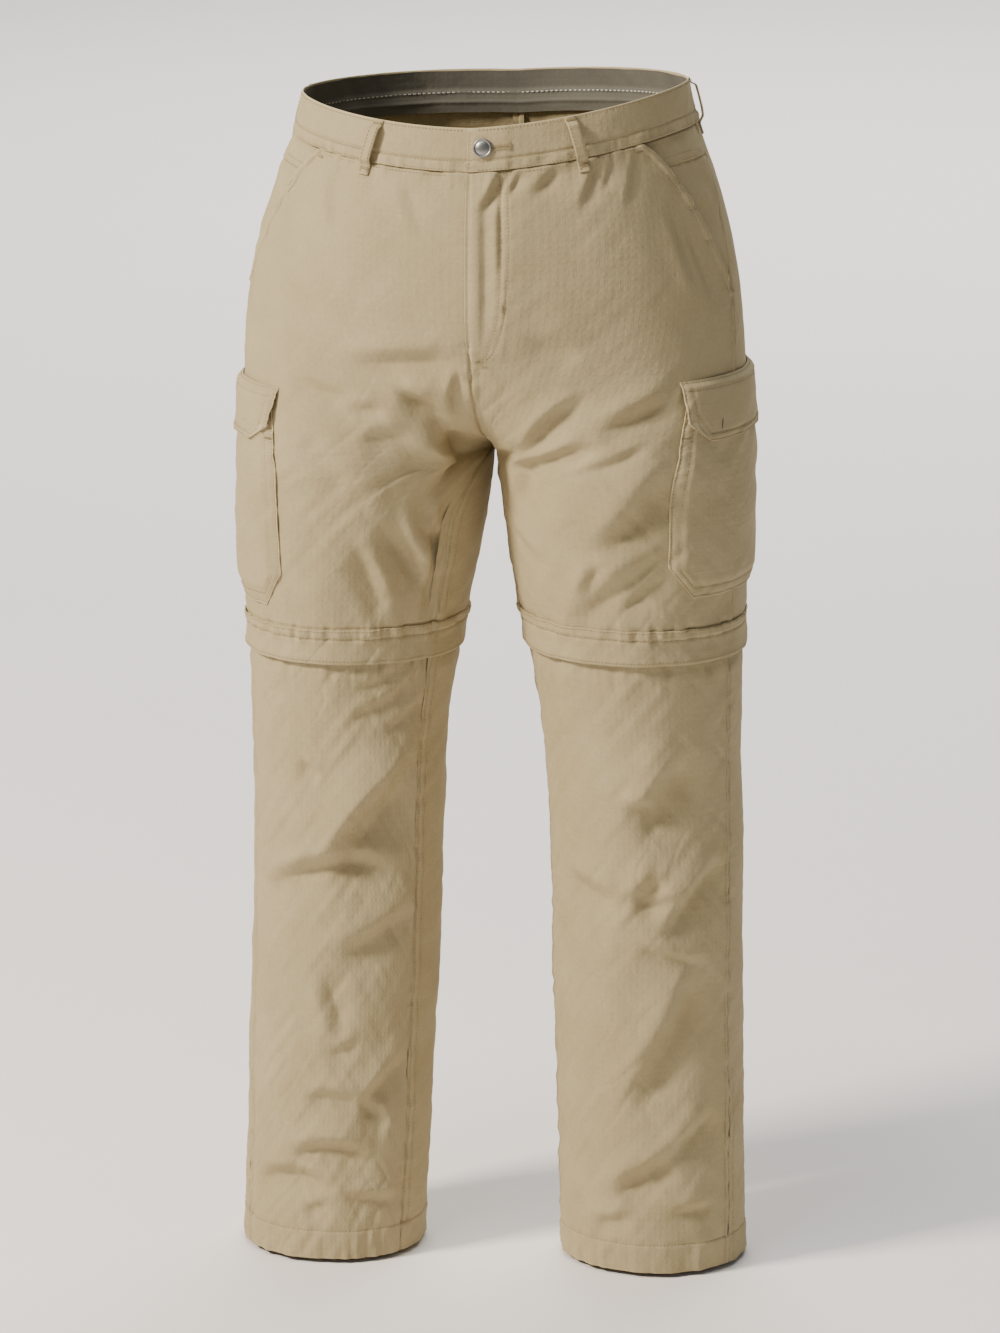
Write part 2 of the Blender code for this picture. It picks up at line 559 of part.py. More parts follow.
def build():
    clear_scene()
    collection = bpy.data.collections.new("zip_off_trousers")
    bpy.context.scene.collection.children.link(collection)
    waistband(collection)
    upper_panels(collection)
    fly_facing(collection)
    hip_facings(collection)
    belt_loops(collection)
    waist_button(collection)
    for word, side in RIGHT_LEFT:
        cargo_pocket(word, side, collection)
        cargo_flap(word, side, collection)
    leg_rings(collection)
    lower_panels(collection)
    ankle_zips(collection)


build()
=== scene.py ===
# %% [markdown]
# # Zip-off trousers in washed cotton canvas
# The trousers stand filled out, as if somebody wore them. Every panel here is one
# thin sheet of cloth, made from one surface that runs through a short table of
# sections. The folds, seams and puckers are added to that surface, so that the
# panels, the pockets on them and the stitches on those all follow each other.

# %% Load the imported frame
import bpy
import math
import numpy as np
from collections import namedtuple
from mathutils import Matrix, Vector


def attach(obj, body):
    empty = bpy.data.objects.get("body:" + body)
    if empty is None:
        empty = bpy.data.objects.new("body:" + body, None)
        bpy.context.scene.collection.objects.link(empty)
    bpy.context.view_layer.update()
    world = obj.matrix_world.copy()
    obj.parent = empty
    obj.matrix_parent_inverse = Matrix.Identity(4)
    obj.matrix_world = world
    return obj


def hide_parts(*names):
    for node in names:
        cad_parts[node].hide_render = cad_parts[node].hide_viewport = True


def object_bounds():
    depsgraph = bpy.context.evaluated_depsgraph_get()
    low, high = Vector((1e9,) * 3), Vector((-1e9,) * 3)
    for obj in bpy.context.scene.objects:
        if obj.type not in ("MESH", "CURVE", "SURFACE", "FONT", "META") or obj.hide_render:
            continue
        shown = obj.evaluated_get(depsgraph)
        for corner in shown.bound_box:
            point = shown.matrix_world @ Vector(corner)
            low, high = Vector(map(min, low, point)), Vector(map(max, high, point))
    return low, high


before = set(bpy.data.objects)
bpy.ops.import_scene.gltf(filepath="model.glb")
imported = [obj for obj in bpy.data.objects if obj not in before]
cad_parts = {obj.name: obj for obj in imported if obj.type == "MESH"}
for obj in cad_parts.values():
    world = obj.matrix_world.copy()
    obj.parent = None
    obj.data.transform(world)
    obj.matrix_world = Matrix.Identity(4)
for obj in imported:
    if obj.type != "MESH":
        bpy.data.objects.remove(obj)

CAD_BOX = [[float(x) for x in corner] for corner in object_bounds()]
print("CAD box", CAD_BOX)

# %% [markdown]
# ## The body of the trousers
# A pattern cutter drafts trousers from girths at known heights. The table does the
# same: each row is one height, with the half widths of the ring there. Between the
# rows a smooth curve that never overshoots gives every other height.
# `side` is 1 for the wearer's left half and -1 for the right, `q` goes round one half
# from the centre front or inseam (0) over the side seam (0.5) to the centre back or
# inseam (1), and `v` goes down through the rows.

# %% Sections and stance
TURN = 0.55               # cloth round one half of the garment, in metres
GAP = 0.0003              # between panels that are sewn together
LAYER = 0.0018            # one layer of cloth on another
CROTCH = 6                # row of the crotch: above it the two halves are one ring
LEGS = (("right", -1), ("left", 1))
INSEAM_TURN = {1: 0.030, -1: 0.095}   # how far each leg's inseam comes forward
Section = namedtuple("Section", "name z_side z_front z_back x_out x_in y_front y_back x_mid "
                                "y_edge_front y_edge_back leg side_seam inseam")
SECTIONS = [
    Section("waist top", 0.000, -0.016, 0.004, 0.175, 0, -0.126, 0.126, 0.086, -0.126, 0.126, 0, 0.490, 0),
    Section("waist seam", -0.038, -0.055, -0.034, 0.184, 0, -0.131, 0.132, 0.090, -0.131, 0.132, 0, 0.487, 0),
    Section("high hip", -0.100, -0.110, -0.095, 0.207, 0, -0.138, 0.150, 0.100, -0.138, 0.150, 0, 0.465, 0),
    Section("hip", -0.172, -0.176, -0.167, 0.224, 0, -0.142, 0.163, 0.107, -0.138, 0.152, 0.10, 0.450, 0),
    Section("seat", -0.240, -0.243, -0.235, 0.230, 0, -0.140, 0.163, 0.114, -0.118, 0.125, 0.40, 0.445, 0),
    Section("fork", -0.299, -0.299, -0.294, 0.233, 0, -0.134, 0.156, 0.121, -0.060, 0.070, 0.80, 0.440, 0),
    Section("crotch", -0.343, -0.328, -0.328, 0.236, 0.002, -0.128, 0.148, 0.124, 0.009, 0.009, 1, 0.440, 0),
    Section("thigh", -0.402, -0.392, -0.392, 0.236, 0.010, -0.121, 0.134, 0.127, 0.006, 0.006, 1, 0.440, 1),
    Section("zip line", -0.482, -0.480, -0.480, 0.232, 0.027, -0.108, 0.113, 0.132, 0.002, 0.002, 1, 0.44, 1),
    Section("knee", -0.608, -0.608, -0.608, 0.229, 0.047, -0.093, 0.092, 0.140, 0, 0, 1, 0.436, 1),
    Section("calf", -0.824, -0.824, -0.824, 0.233, 0.056, -0.084, 0.084, 0.146, 0, 0, 1, 0.430, 1),
    Section("hem", -1.095, -1.095, -1.095, 0.239, 0.065, -0.080, 0.080, 0.152, 0, 0, 1, 0.420, 1),
]
Stance = namedtuple("Stance", "drop right_x left_x right_ahead")
STANCE = [
    Stance(0.300, 0, 0, 0),
    Stance(0.482, 0, 0, 0),
    Stance(0.700, 0.003, 0.003, 0.004),
    Stance(0.824, 0.003, 0.001, 0.006),
    Stance(1.095, -0.001, 0.000, 0.013),
]
LEFT_WAIST_UP = 0.014     # how much higher the waist sits over the left hip
TABLE = np.array([row[1:] for row in SECTIONS], float)
STEPS = np.diff(TABLE, axis=0)
SLOPES = np.zeros_like(TABLE)
same_way = STEPS[:-1] * STEPS[1:] > 0
both = np.where(same_way, STEPS[:-1] + STEPS[1:], 1)
SLOPES[1:-1] = np.where(same_way, 2 * STEPS[:-1] * STEPS[1:] / both, 0)
SLOPES[0], SLOPES[-1] = STEPS[0], STEPS[-1]
print("sections:", len(SECTIONS), "rows from", SECTIONS[0].name, "to", SECTIONS[-1].name)


# %% The plain form and its outward direction
def smooth(low, high, value):
    """0 below low, 1 above high, and a soft step between them."""
    t = np.clip((value - low) / (high - low), 0, 1)
    return t * t * (3 - 2 * t)


def section(v):
    row = np.clip(np.floor(v).astype(int), 0, len(TABLE) - 2)
    t = (v - row)[..., None]
    a = (2 * t**3 - 3 * t**2 + 1) * TABLE[row] + (t**3 - 2 * t**2 + t) * SLOPES[row]
    b = (3 * t**2 - 2 * t**3) * TABLE[row + 1] + (t**3 - t**2) * SLOPES[row + 1]
    return Section("at v", *np.moveaxis(a + b, -1, 0))


def drop_at(v):
    """How far below the waist a row is at the side seam."""
    return -section(v).z_side


def turn_share(side, q, at, v):
    # the inseam comes forward quickly below the crotch
    forward = np.clip(at.inseam, 0, 1) ** 0.35
    inseam = forward * np.where(side > 0, INSEAM_TURN[1], INSEAM_TURN[-1])
    half = np.where(q < 0.5, q, q - 0.5) / 0.5
    front = at.side_seam * half + inseam * (1 - half)**2
    back = at.side_seam + (1 - at.side_seam) * half + inseam * half**2
    share = np.where(q < 0.5, front, back)
    return np.where(v >= CROTCH, np.mod(share, 1.0), share)


def form(side, q, v):
    """A point of the plain form, without folds."""
    at = section(v)
    share = turn_share(side, q, at, v)
    over = np.where(share < 0, -1, 1)
    share = np.abs(share)
    front = share <= 0.5
    u = np.where(front, share, 1 - share) * 2
    y_far = np.where(front, at.y_front, at.y_back)
    y_edge = np.where(front | (v >= CROTCH), at.y_edge_front, at.y_edge_back)
    z_edge = np.where(front, at.z_front, at.z_back)
    torso_x = at.x_out * np.sin(u * math.pi / 2)
    torso_y = y_far * np.cos(u * math.pi / 2)
    inner = u < 0.5
    radius = np.where(inner, at.x_mid - at.x_in, at.x_out - at.x_mid)
    leg_x = at.x_mid - radius * np.cos(u * math.pi)
    y_start = np.where(inner, y_edge, 0)
    leg_y = y_start + (y_far - y_start) * np.sin(u * math.pi)
    x = (1 - at.leg) * torso_x + at.leg * leg_x
    y = (1 - at.leg) * torso_y + at.leg * leg_y
    z = z_edge + (at.z_side - z_edge) * (0.5 - 0.5 * np.cos(u * math.pi))
    drops = [row.drop for row in STANCE]
    right_x = np.interp(-z, drops, [row.right_x for row in STANCE])
    left_x = np.interp(-z, drops, [row.left_x for row in STANCE])
    ahead = np.interp(-z, drops, [row.right_ahead for row in STANCE]) * (side < 0)
    x = side * over * (x + GAP / 2) + np.where(side > 0, left_x, right_x)
    z = z + LEFT_WAIST_UP * np.clip(x / SECTIONS[0].x_out, 0, 1) * (1 - smooth(0.8, 3.2, v))
    return np.stack([x, y - ahead, z], -1)


def outward(side, q, v):
    """The plain form's outward normal."""
    step = 0.004
    round_it = form(side, q + step, v) - form(side, q - step, v)
    down_it = form(side, q, np.minimum(v + step, 11)) - form(side, q, np.maximum(v - step, 0))
    normal = np.cross(down_it, round_it) * side[..., None]
    return normal / np.linalg.norm(normal, axis=-1, keepdims=True)


# %% [markdown]
# ## Folds
# Cloth that hangs on a body makes folds that start where it is held, at the fork, at
# the zips and at the ankles, and die out in the panel. Each fold is a line on the
# panel. Its cross section is a trough with a ridge along its upper side and a slow
# climb on its lower side, which is what makes a fold look soft but crisp in side light.
# The lines were placed one by one, and simulation would have moved them elsewhere.

# %% Table of folds: q and the drop below the waist, in metres
Fold = namedtuple("Fold", "side q0 drop0 q1 drop1 bow width height")
FOLDS = [
    # right leg, front of the thigh
    Fold(-1, 0.217, 0.231, 0.030, 0.220, 0.000, 0.013, -0.0050),
    Fold(-1, 0.147, 0.255, 0.072, 0.266, 0.000, 0.012, -0.0040),
    Fold(-1, 0.238, 0.305, 0.160, 0.300, -0.004, 0.014, -0.0040),
    Fold(-1, 0.095, 0.285, 0.085, 0.362, 0.000, 0.019, -0.0085),
    Fold(-1, 0.147, 0.256, 0.077, 0.282, 0.000, 0.009, -0.0045),
    Fold(-1, 0.020, 0.232, 0.055, 0.268, 0.000, 0.007, -0.0030),
    Fold(-1, 0.118, 0.308, 0.077, 0.352, 0.000, 0.008, -0.0040),
    Fold(-1, 0.098, 0.376, 0.020, 0.413, 0.000, 0.007, -0.0025),
    Fold(-1, 0.160, 0.375, 0.070, 0.448, 0.000, 0.008, -0.0025),
    Fold(-1, 0.036, 0.375, 0.034, 0.470, 0.000, 0.013, -0.0045),
    Fold(-1, 0.177, 0.393, 0.040, 0.458, -0.003, 0.013, -0.0050),
    Fold(-1, 0.225, 0.408, 0.152, 0.468, 0.000, 0.012, -0.0050),
    Fold(-1, 0.238, 0.273, 0.185, 0.269, 0.000, 0.008, -0.0025),
    Fold(-1, 0.330, 0.250, 0.230, 0.262, 0.000, 0.009, -0.0020),
    Fold(-1, 0.090, 0.395, 0.010, 0.420, 0.000, 0.008, -0.0025),
    Fold(-1, 0.330, 0.300, 0.260, 0.360, 0.000, 0.012, -0.0020),
    Fold(-1, 0.300, 0.350, 0.200, 0.375, 0.000, 0.012, -0.0018),
    # left leg, front of the thigh
    Fold(1, 0.153, 0.312, 0.212, 0.255, 0.006, 0.011, -0.0050),
    Fold(1, 0.118, 0.385, 0.190, 0.320, 0.006, 0.012, -0.0045),
    Fold(1, 0.180, 0.330, 0.250, 0.300, 0.003, 0.010, -0.0040),
    Fold(1, 0.225, 0.445, 0.256, 0.414, 0.000, 0.008, -0.0030),
    Fold(1, 0.260, 0.284, 0.357, 0.260, 0.000, 0.013, -0.0045),
    Fold(1, 0.268, 0.402, 0.378, 0.328, -0.006, 0.015, -0.0070),
    Fold(1, 0.208, 0.468, 0.375, 0.400, 0.000, 0.014, -0.0055),
    Fold(1, 0.283, 0.460, 0.372, 0.421, 0.000, 0.009, -0.0035),
    Fold(1, 0.060, 0.340, 0.130, 0.320, 0.000, 0.009, -0.0025),
    Fold(1, 0.060, 0.400, 0.150, 0.425, 0.000, 0.010, -0.0020),
    Fold(1, 0.255, 0.330, 0.330, 0.300, 0.000, 0.008, -0.0022),
    Fold(1, 0.375, 0.112, 0.432, 0.180, 0.000, 0.009, -0.0025),
    Fold(1, 0.335, 0.094, 0.392, 0.168, 0.000, 0.010, -0.0025),
    # inside the fly and under the band
    Fold(1, 0.020, 0.062, 0.025, 0.205, 0.000, 0.005, -0.0022),
    Fold(1, 0.062, 0.030, 0.022, 0.078, 0.000, 0.006, -0.0038),
    Fold(1, 0.086, 0.034, 0.062, 0.062, 0.000, 0.004, -0.0022),
    Fold(1, 0.046, 0.060, 0.048, 0.145, 0.000, 0.004, -0.0014),
    Fold(1, 0.165, 0.030, 0.100, 0.066, 0.000, 0.008, -0.0028),
    Fold(1, 0.214, 0.040, 0.174, 0.082, 0.000, 0.006, -0.0022),
    Fold(1, 0.290, 0.038, 0.252, 0.085, 0.000, 0.006, -0.0020),
    Fold(1, 0.240, 0.040, 0.212, 0.070, 0.000, 0.004, -0.0014),
    Fold(-1, 0.110, 0.045, 0.070, 0.100, 0.000, 0.009, -0.0014),
    Fold(-1, 0.250, 0.050, 0.220, 0.110, 0.000, 0.009, -0.0012),
    Fold(1, 0.100, 0.200, 0.180, 0.215, 0.000, 0.012, -0.0020),
    # right lower leg
    Fold(-1, 0.020, 0.590, 0.278, 0.689, 0.012, 0.020, 0.0060),
    Fold(-1, 0.030, 0.642, 0.240, 0.714, 0.006, 0.024, -0.0090),
    Fold(-1, 0.427, 0.738, 0.090, 0.718, -0.016, 0.014, -0.0070),
    Fold(-1, 0.242, 0.800, 0.010, 0.762, 0.000, 0.017, -0.0055),
    Fold(-1, 0.275, 0.815, 0.220, 0.870, 0.000, 0.016, -0.0045),
    Fold(-1, 0.010, 0.903, 0.165, 0.946, 0.000, 0.016, -0.0060),
    Fold(-1, 0.360, 0.998, 0.140, 0.998, -0.010, 0.013, -0.0065),
    Fold(-1, 0.445, 1.025, 0.240, 1.028, -0.010, 0.012, -0.0055),
    Fold(-1, 0.260, 0.894, 0.182, 0.885, 0.000, 0.009, -0.0025),
    Fold(-1, 0.320, 0.938, 0.168, 0.944, -0.004, 0.010, -0.0035),
    Fold(-1, 0.165, 0.946, 0.085, 0.963, 0.000, 0.010, -0.0035),
    Fold(-1, 0.312, 1.048, 0.250, 1.043, 0.000, 0.008, -0.0025),
    Fold(-1, 0.212, 1.036, 0.040, 1.042, 0.000, 0.010, -0.0035),
    Fold(-1, 0.075, 0.544, 0.215, 0.570, 0.000, 0.009, -0.0024),
    Fold(-1, 0.000, 0.556, 0.125, 0.582, 0.000, 0.008, -0.0026),
    Fold(-1, 0.095, 0.522, 0.195, 0.541, 0.000, 0.007, -0.0018),
    Fold(-1, 0.035, 0.520, 0.100, 0.551, 0.000, 0.006, -0.0020),
    Fold(-1, 0.335, 0.612, 0.285, 0.626, 0.000, 0.008, -0.0028),
    # left lower leg
    Fold(1, 0.300, 0.672, 0.405, 0.598, 0.000, 0.022, -0.0085),
    Fold(1, 0.278, 0.738, 0.333, 0.712, 0.000, 0.013, -0.0050),
    Fold(1, 0.348, 0.768, 0.473, 0.700, 0.004, 0.014, -0.0065),
    Fold(1, 0.115, 0.718, 0.242, 0.739, 0.000, 0.014, -0.0045),
    Fold(1, 0.425, 0.800, 0.283, 0.935, 0.004, 0.020, -0.0080),
    Fold(1, 0.235, 1.021, 0.365, 0.981, 0.000, 0.014, -0.0065),
    Fold(1, 0.360, 0.982, 0.460, 0.944, 0.000, 0.014, -0.0055),
    Fold(1, 0.263, 0.643, 0.320, 0.641, 0.000, 0.009, -0.0030),
    Fold(1, 0.285, 0.739, 0.378, 0.732, 0.000, 0.009, -0.0030),
    Fold(1, 0.292, 0.780, 0.425, 0.797, 0.000, 0.009, -0.0030),
    Fold(1, 0.177, 1.052, 0.270, 1.043, 0.000, 0.009, -0.0030),
    Fold(1, 0.357, 1.038, 0.458, 1.034, 0.000, 0.009, -0.0030),
    # backs: seat, knees and ankles
    Fold(-1, 0.960, 0.270, 0.760, 0.310, 0.010, 0.018, -0.0060),
    Fold(1, 0.960, 0.275, 0.770, 0.305, 0.010, 0.018, -0.0060),
    Fold(-1, 0.930, 0.330, 0.700, 0.370, 0.008, 0.016, -0.0050),
    Fold(1, 0.940, 0.335, 0.720, 0.385, 0.008, 0.016, -0.0050),
    Fold(-1, 0.900, 0.580, 0.600, 0.600, 0.010, 0.018, -0.0070),
    Fold(1, 0.890, 0.590, 0.620, 0.575, 0.010, 0.018, -0.0065),
    Fold(-1, 0.880, 0.680, 0.640, 0.655, -0.008, 0.016, -0.0055),
    Fold(1, 0.860, 0.655, 0.600, 0.690, -0.006, 0.016, -0.0060),
    Fold(-1, 0.850, 0.880, 0.620, 0.960, 0.006, 0.018, -0.0060),
    Fold(1, 0.870, 0.900, 0.650, 0.850, 0.006, 0.018, -0.0060),
    Fold(-1, 0.900, 1.020, 0.640, 1.035, 0.006, 0.014, -0.0060),
    Fold(1, 0.880, 1.035, 0.610, 1.015, 0.006, 0.014, -0.0060),
]
print("folds placed by hand:", len(FOLDS))


# %% Cross section of a fold, and the sum of them all
FOLD_STRENGTH = 1.4


def fold_height(side, q, v):
    drop = drop_at(v)
    height = np.zeros_like(q)
    for fold in FOLDS:
        along_x, along_y = (fold.q1 - fold.q0) * TURN, fold.drop1 - fold.drop0
        length = math.hypot(along_x, along_y)
        near = (side == fold.side) & (np.abs(drop - (fold.drop0 + fold.drop1) / 2)
                                      < abs(along_y) / 2 + 0.10)
        if not near.any():
            continue
        dx, dy = (q[near] - fold.q0) * TURN, drop[near] - fold.drop0
        t = (dx * along_x + dy * along_y) / length**2
        across = (dx * along_y - dy * along_x) / length - fold.bow * np.sin(math.pi * np.clip(t, 0, 1))
        # the ridge lies on the side that faces up, and up and inward on a steep fold
        upper = 1 if along_x - 0.6 * fold.side * along_y > 0 else -1
        a = across / fold.width * upper * (1 if fold.height < 0 else -1)
        trough = np.exp(-np.abs(a / np.where(a > 0, 0.62, 1.50))**1.6)
        ridge = np.exp(-np.abs((a - 1.25) / np.where(a > 1.25, 0.95, 0.60))**1.8)
        ends = smooth(-0.15, 0.35, t) * (1 - smooth(0.65, 1.15, t))
        height[near] += FOLD_STRENGTH * fold.height * ends * (trough - 0.5 * ridge)
    # no fold crosses the waist seam, and few cross the centre seams and inseams
    from_seam = np.minimum(q, 1 - q) + 0.005 * (v > CROTCH)
    return height * (smooth(0.9, 1.3, v) * (0.25 + 0.75 * smooth(0.0, 0.03, from_seam)))


def bumps(x, y, seed):
    """Smooth random bumps of size 1, the same on every run."""
    table = np.random.default_rng(seed).uniform(-1, 1, (97, 89))
    ix, iy = np.floor(x).astype(int), np.floor(y).astype(int)
    fx, fy = x - ix, y - iy
    fx, fy = fx * fx * (3 - 2 * fx), fy * fy * (3 - 2 * fy)
    a, b = table[ix % 97, iy % 89], table[(ix + 1) % 97, iy % 89]
    c, d = table[ix % 97, (iy + 1) % 89], table[(ix + 1) % 97, (iy + 1) % 89]
    return (a * (1 - fx) + b * fx) * (1 - fy) + (c * (1 - fx) + d * fx) * fy


def rumple(side, q, v):
    """Washed canvas is never flat: shallow dents and short diagonal wrinkles."""
    x, y = q * TURN + 3 * (side > 0), drop_at(v)
    loose = 0.35 + 0.65 * smooth(3.0, 6.0, v)
    dents = 0.0009 * bumps(x / 0.055, y / 0.075, 1) + 0.0004 * bumps(x / 0.021, y / 0.030, 2)
    slant = x * side + y
    wrinkles = 0.0006 * bumps(slant / 0.012, (y - x * side) / 0.060, 3)
    other = 0.0004 * bumps((x * side - y) / 0.010, slant / 0.050, 4)
    # sharp little valleys where washing has creased the cloth
    one_way = bumps(slant / 0.030, (y - x * side) / 0.075, 5)
    crossing = bumps((x * side - y) / 0.036, slant / 0.060, 6)
    creases = -0.0007 * np.clip(1 - np.abs(one_way) / 0.16, 0, 1)
    creases = creases - 0.0005 * np.clip(1 - np.abs(crossing) / 0.14, 0, 1)
    creases = creases * np.clip(0.5 + bumps(x / 0.07, y / 0.09, 7), 0, 1)
    return dents * smooth(0.9, 1.6, v) + (wrinkles + other + creases) * loose


def lay(side, q, v, out):
    """A point that lies out from the garment's surface."""
    side, q, v, out = np.broadcast_arrays(*(np.asarray(a, float) for a in (side, q, v, out)))
    lift = out + fold_height(side, q, v) + rumple(side, q, v)
    return form(side, q, v) + outward(side, q, v) * lift[..., None]


ROWS = np.linspace(0, 11, 2201)
DROPS = drop_at(ROWS)
WAIST = float(DROPS[np.searchsorted(ROWS, 1.0)])     # drop of the waist seam


def row_at(drop):
    """The row v at a drop below the waist."""
    return np.interp(drop, DROPS, ROWS)


print("drop of the zip line", round(float(DROPS[1600]), 3), "of the hem", round(float(DROPS[-1]), 3))

# %% [markdown]
# ## Cotton canvas
# The real cloth is a plain-woven cotton canvas of about 260 grams, dyed khaki, garment
# washed and not pressed. It gives the eye a matt, slightly hairy surface: almost no
# highlight, a soft sheen where the nap catches the light from the side, threads that
# differ a little in thickness, and paler cloth where washing has rubbed the edges.
# Plain image textures would stretch over the folds, so the weave is worked out from
# the sheet's flat coordinates in metres, which stay true on the folded cloth.


# %% Helpers for materials
def linear(hexcode):
    """An sRGB hex colour as linear RGBA."""
    values = [int(hexcode[i:i + 2], 16) / 255 for i in (1, 3, 5)]
    return [x / 12.92 if x <= 0.04045 else ((x + 0.055) / 1.055) ** 2.4 for x in values] + [1.0]


def node(tree, kind, settings=(), **links):
    """Adds a node; settings are attributes, links are sockets by name."""
    made = tree.nodes.new(kind)
    for key, value in dict(settings).items():
        setattr(made, key, value)
    for key, value in links.items():
        by_number = key[0] == "i" and key[1:].isdigit()
        socket = made.inputs[int(key[1:]) if by_number else key.replace("_", " ")]
        if isinstance(value, bpy.types.NodeSocket):
            tree.links.new(value, socket)
        else:
            socket.default_value = value
    return made


def mix_colours(tree, factor, first, second):
    """Mixes two colours, each a constant or a socket, by a factor socket."""
    mix = node(tree, "ShaderNodeMix", {"data_type": "RGBA"}, i0=factor)
    pair = [socket for socket in mix.inputs if socket.type == "RGBA"]
    for socket, value in zip(pair, (first, second)):
        if isinstance(value, bpy.types.NodeSocket):
            tree.links.new(value, socket)
        else:
            socket.default_value = value
    return next(socket for socket in mix.outputs if socket.type == "RGBA")


def new_material(name):
    mat = bpy.data.materials.new(name)
    mat.use_nodes = True
    return mat, mat.node_tree, mat.node_tree.nodes["Principled BSDF"]


# Thread spacing of the real canvas is about 0.45 mm. That is finer than the render
# can show, so the weave is drawn at 1.1 mm to read as woven from this distance.
WEAVE_MM = 1.1
SLUB_MM = 9.0             # length of a thick place in a thread
MOTTLE_MM = 70.0          # size of the clouds that washing leaves
WRINKLE_MM = 24.0


def woven_cloth(name, colour, dark, pale, relief=0.35, sheen=0.25):
    """A woven cotton: threads both ways, slubs, washed clouds and rubbed edges."""
    mat, tree, shader = new_material(name)
    flat = node(tree, "ShaderNodeUVMap", {"uv_map": "cut"}).outputs["UV"]
    wave_scale = 1000 / WEAVE_MM * 0.5 / math.pi * 0.314
    warp = node(tree, "ShaderNodeTexWave", {"bands_direction": "X"}, Vector=flat, Scale=wave_scale,
                Distortion=1.2, Detail=1.0, Detail_Scale=2.0)
    weft = node(tree, "ShaderNodeTexWave", {"bands_direction": "Y"}, Vector=flat, Scale=wave_scale,
                Distortion=1.2, Detail=1.0, Detail_Scale=2.0)
    weave = node(tree, "ShaderNodeMath", {"operation": "MULTIPLY"}, i0=warp.outputs["Fac"],
                 i1=weft.outputs["Fac"]).outputs[0]
    stretched = node(tree, "ShaderNodeMapping", Vector=flat,
                     Scale=(1000 / 1.2, 1000 / SLUB_MM, 1)).outputs["Vector"]
    slubs = node(tree, "ShaderNodeTexNoise", Vector=stretched, Scale=1.0, Detail=3.0).outputs["Fac"]
    crossed = node(tree, "ShaderNodeMapping", Vector=flat,
                   Scale=(1000 / SLUB_MM, 1000 / 1.2, 1)).outputs["Vector"]
    slubs_too = node(tree, "ShaderNodeTexNoise", Vector=crossed, Scale=1.0, Detail=3.0).outputs["Fac"]
    clouds = node(tree, "ShaderNodeTexNoise", Vector=flat, Scale=1000 / MOTTLE_MM, Detail=4.0,
                  Roughness=0.6).outputs["Fac"]
    rubbed = node(tree, "ShaderNodeAttribute", {"attribute_name": "rubbed"}).outputs["Fac"]
    threads = node(tree, "ShaderNodeMath", {"operation": "ADD"}, i0=slubs, i1=slubs_too).outputs[0]
    mottled = node(tree, "ShaderNodeMath", {"operation": "MULTIPLY_ADD"}, i0=threads, i1=0.5,
                   i2=clouds).outputs[0]
    amount = node(tree, "ShaderNodeMapRange", Value=mottled, From_Min=0.70, From_Max=1.30).outputs["Result"]
    base = mix_colours(tree, amount, linear(dark), linear(colour))
    base = mix_colours(tree, rubbed, base, linear(pale))
    tree.links.new(base, shader.inputs["Base Color"])
    height = node(tree, "ShaderNodeMath", {"operation": "MULTIPLY_ADD"}, i0=weave, i1=0.6,
                  i2=threads).outputs[0]
    # fine wrinkles of washing, too small for the mesh
    wrinkles = node(tree, "ShaderNodeTexNoise", {"noise_type": "RIDGED_MULTIFRACTAL"}, Vector=flat,
                    Scale=1000 / WRINKLE_MM, Detail=3.0, Distortion=0.6).outputs["Fac"]
    wrinkled = node(tree, "ShaderNodeBump", Height=wrinkles, Strength=0.30, Distance=0.0010).outputs["Normal"]
    bump = node(tree, "ShaderNodeBump", Height=height, Strength=relief, Distance=0.0005,
                Normal=wrinkled).outputs["Normal"]
    tree.links.new(bump, shader.inputs["Normal"])
    shader.inputs["Roughness"].default_value = 0.88
    shader.inputs["Specular IOR Level"].default_value = 0.25
    shader.inputs["Sheen Weight"].default_value = sheen
    shader.inputs["Sheen Roughness"].default_value = 0.5
    shader.inputs["Sheen Tint"].default_value = linear(pale)
    return mat


CANVAS = woven_cloth("washed_cotton_canvas", "#AFA07D", "#A1926E", "#C5B691", 0.5, 0.06)
# The lining is a thinner cotton sheeting in a dark olive grey.
LINING = woven_cloth("dark_cotton_sheeting", "#6C695F", "#605D54", "#7C786C", 0.2, 0.1)
# Zip tape is woven polyester, dark and slightly harder in its gloss than the cotton.
TAPE = woven_cloth("woven_zip_tape", "#4A4234", "#3C352A", "#5A5142", 0.3, 0.1)
print("cloths:", CANVAS.name, LINING.name, TAPE.name)


# %% Thread, zip teeth and button metal
def plain_finish(name, colour, roughness, metallic=0.0, speck=0.08, size_mm=0.8):
    """A smooth finish that differs a little from place to place."""
    mat, tree, shader = new_material(name)
    place = node(tree, "ShaderNodeTexCoord").outputs["Object"]
    specks = node(tree, "ShaderNodeTexNoise", Vector=place, Scale=1000 / size_mm, Detail=2.0).outputs["Fac"]
    shade = linear(colour)
    darker = [c * (1 - 2 * speck) for c in shade[:3]] + [1]
    tree.links.new(mix_colours(tree, specks, darker, shade), shader.inputs["Base Color"])
    shader.inputs["Roughness"].default_value = roughness
    shader.inputs["Metallic"].default_value = metallic
    return mat


# Spun polyester sewing thread: matt, a shade darker than the canvas.
THREAD = plain_finish("spun_sewing_thread", "#94825C", 0.75)
PALE_THREAD = plain_finish("pale_sewing_thread", "#E2DED4", 0.75)
# Moulded acetal zip teeth: dark, with a dull gloss. The same dark finish also makes the painted shade inside
# the flaps' buttonhole slits.
TEETH_AND_SLIT_SHADE = plain_finish("moulded_zip_teeth", "#3A342A", 0.45)
# Nickel-plated brass, tumbled and aged: grey, worn bright on its rim.
NICKEL = plain_finish("aged_nickel", "#9C9B98", 0.38, 1.0, 0.12, 1.5)

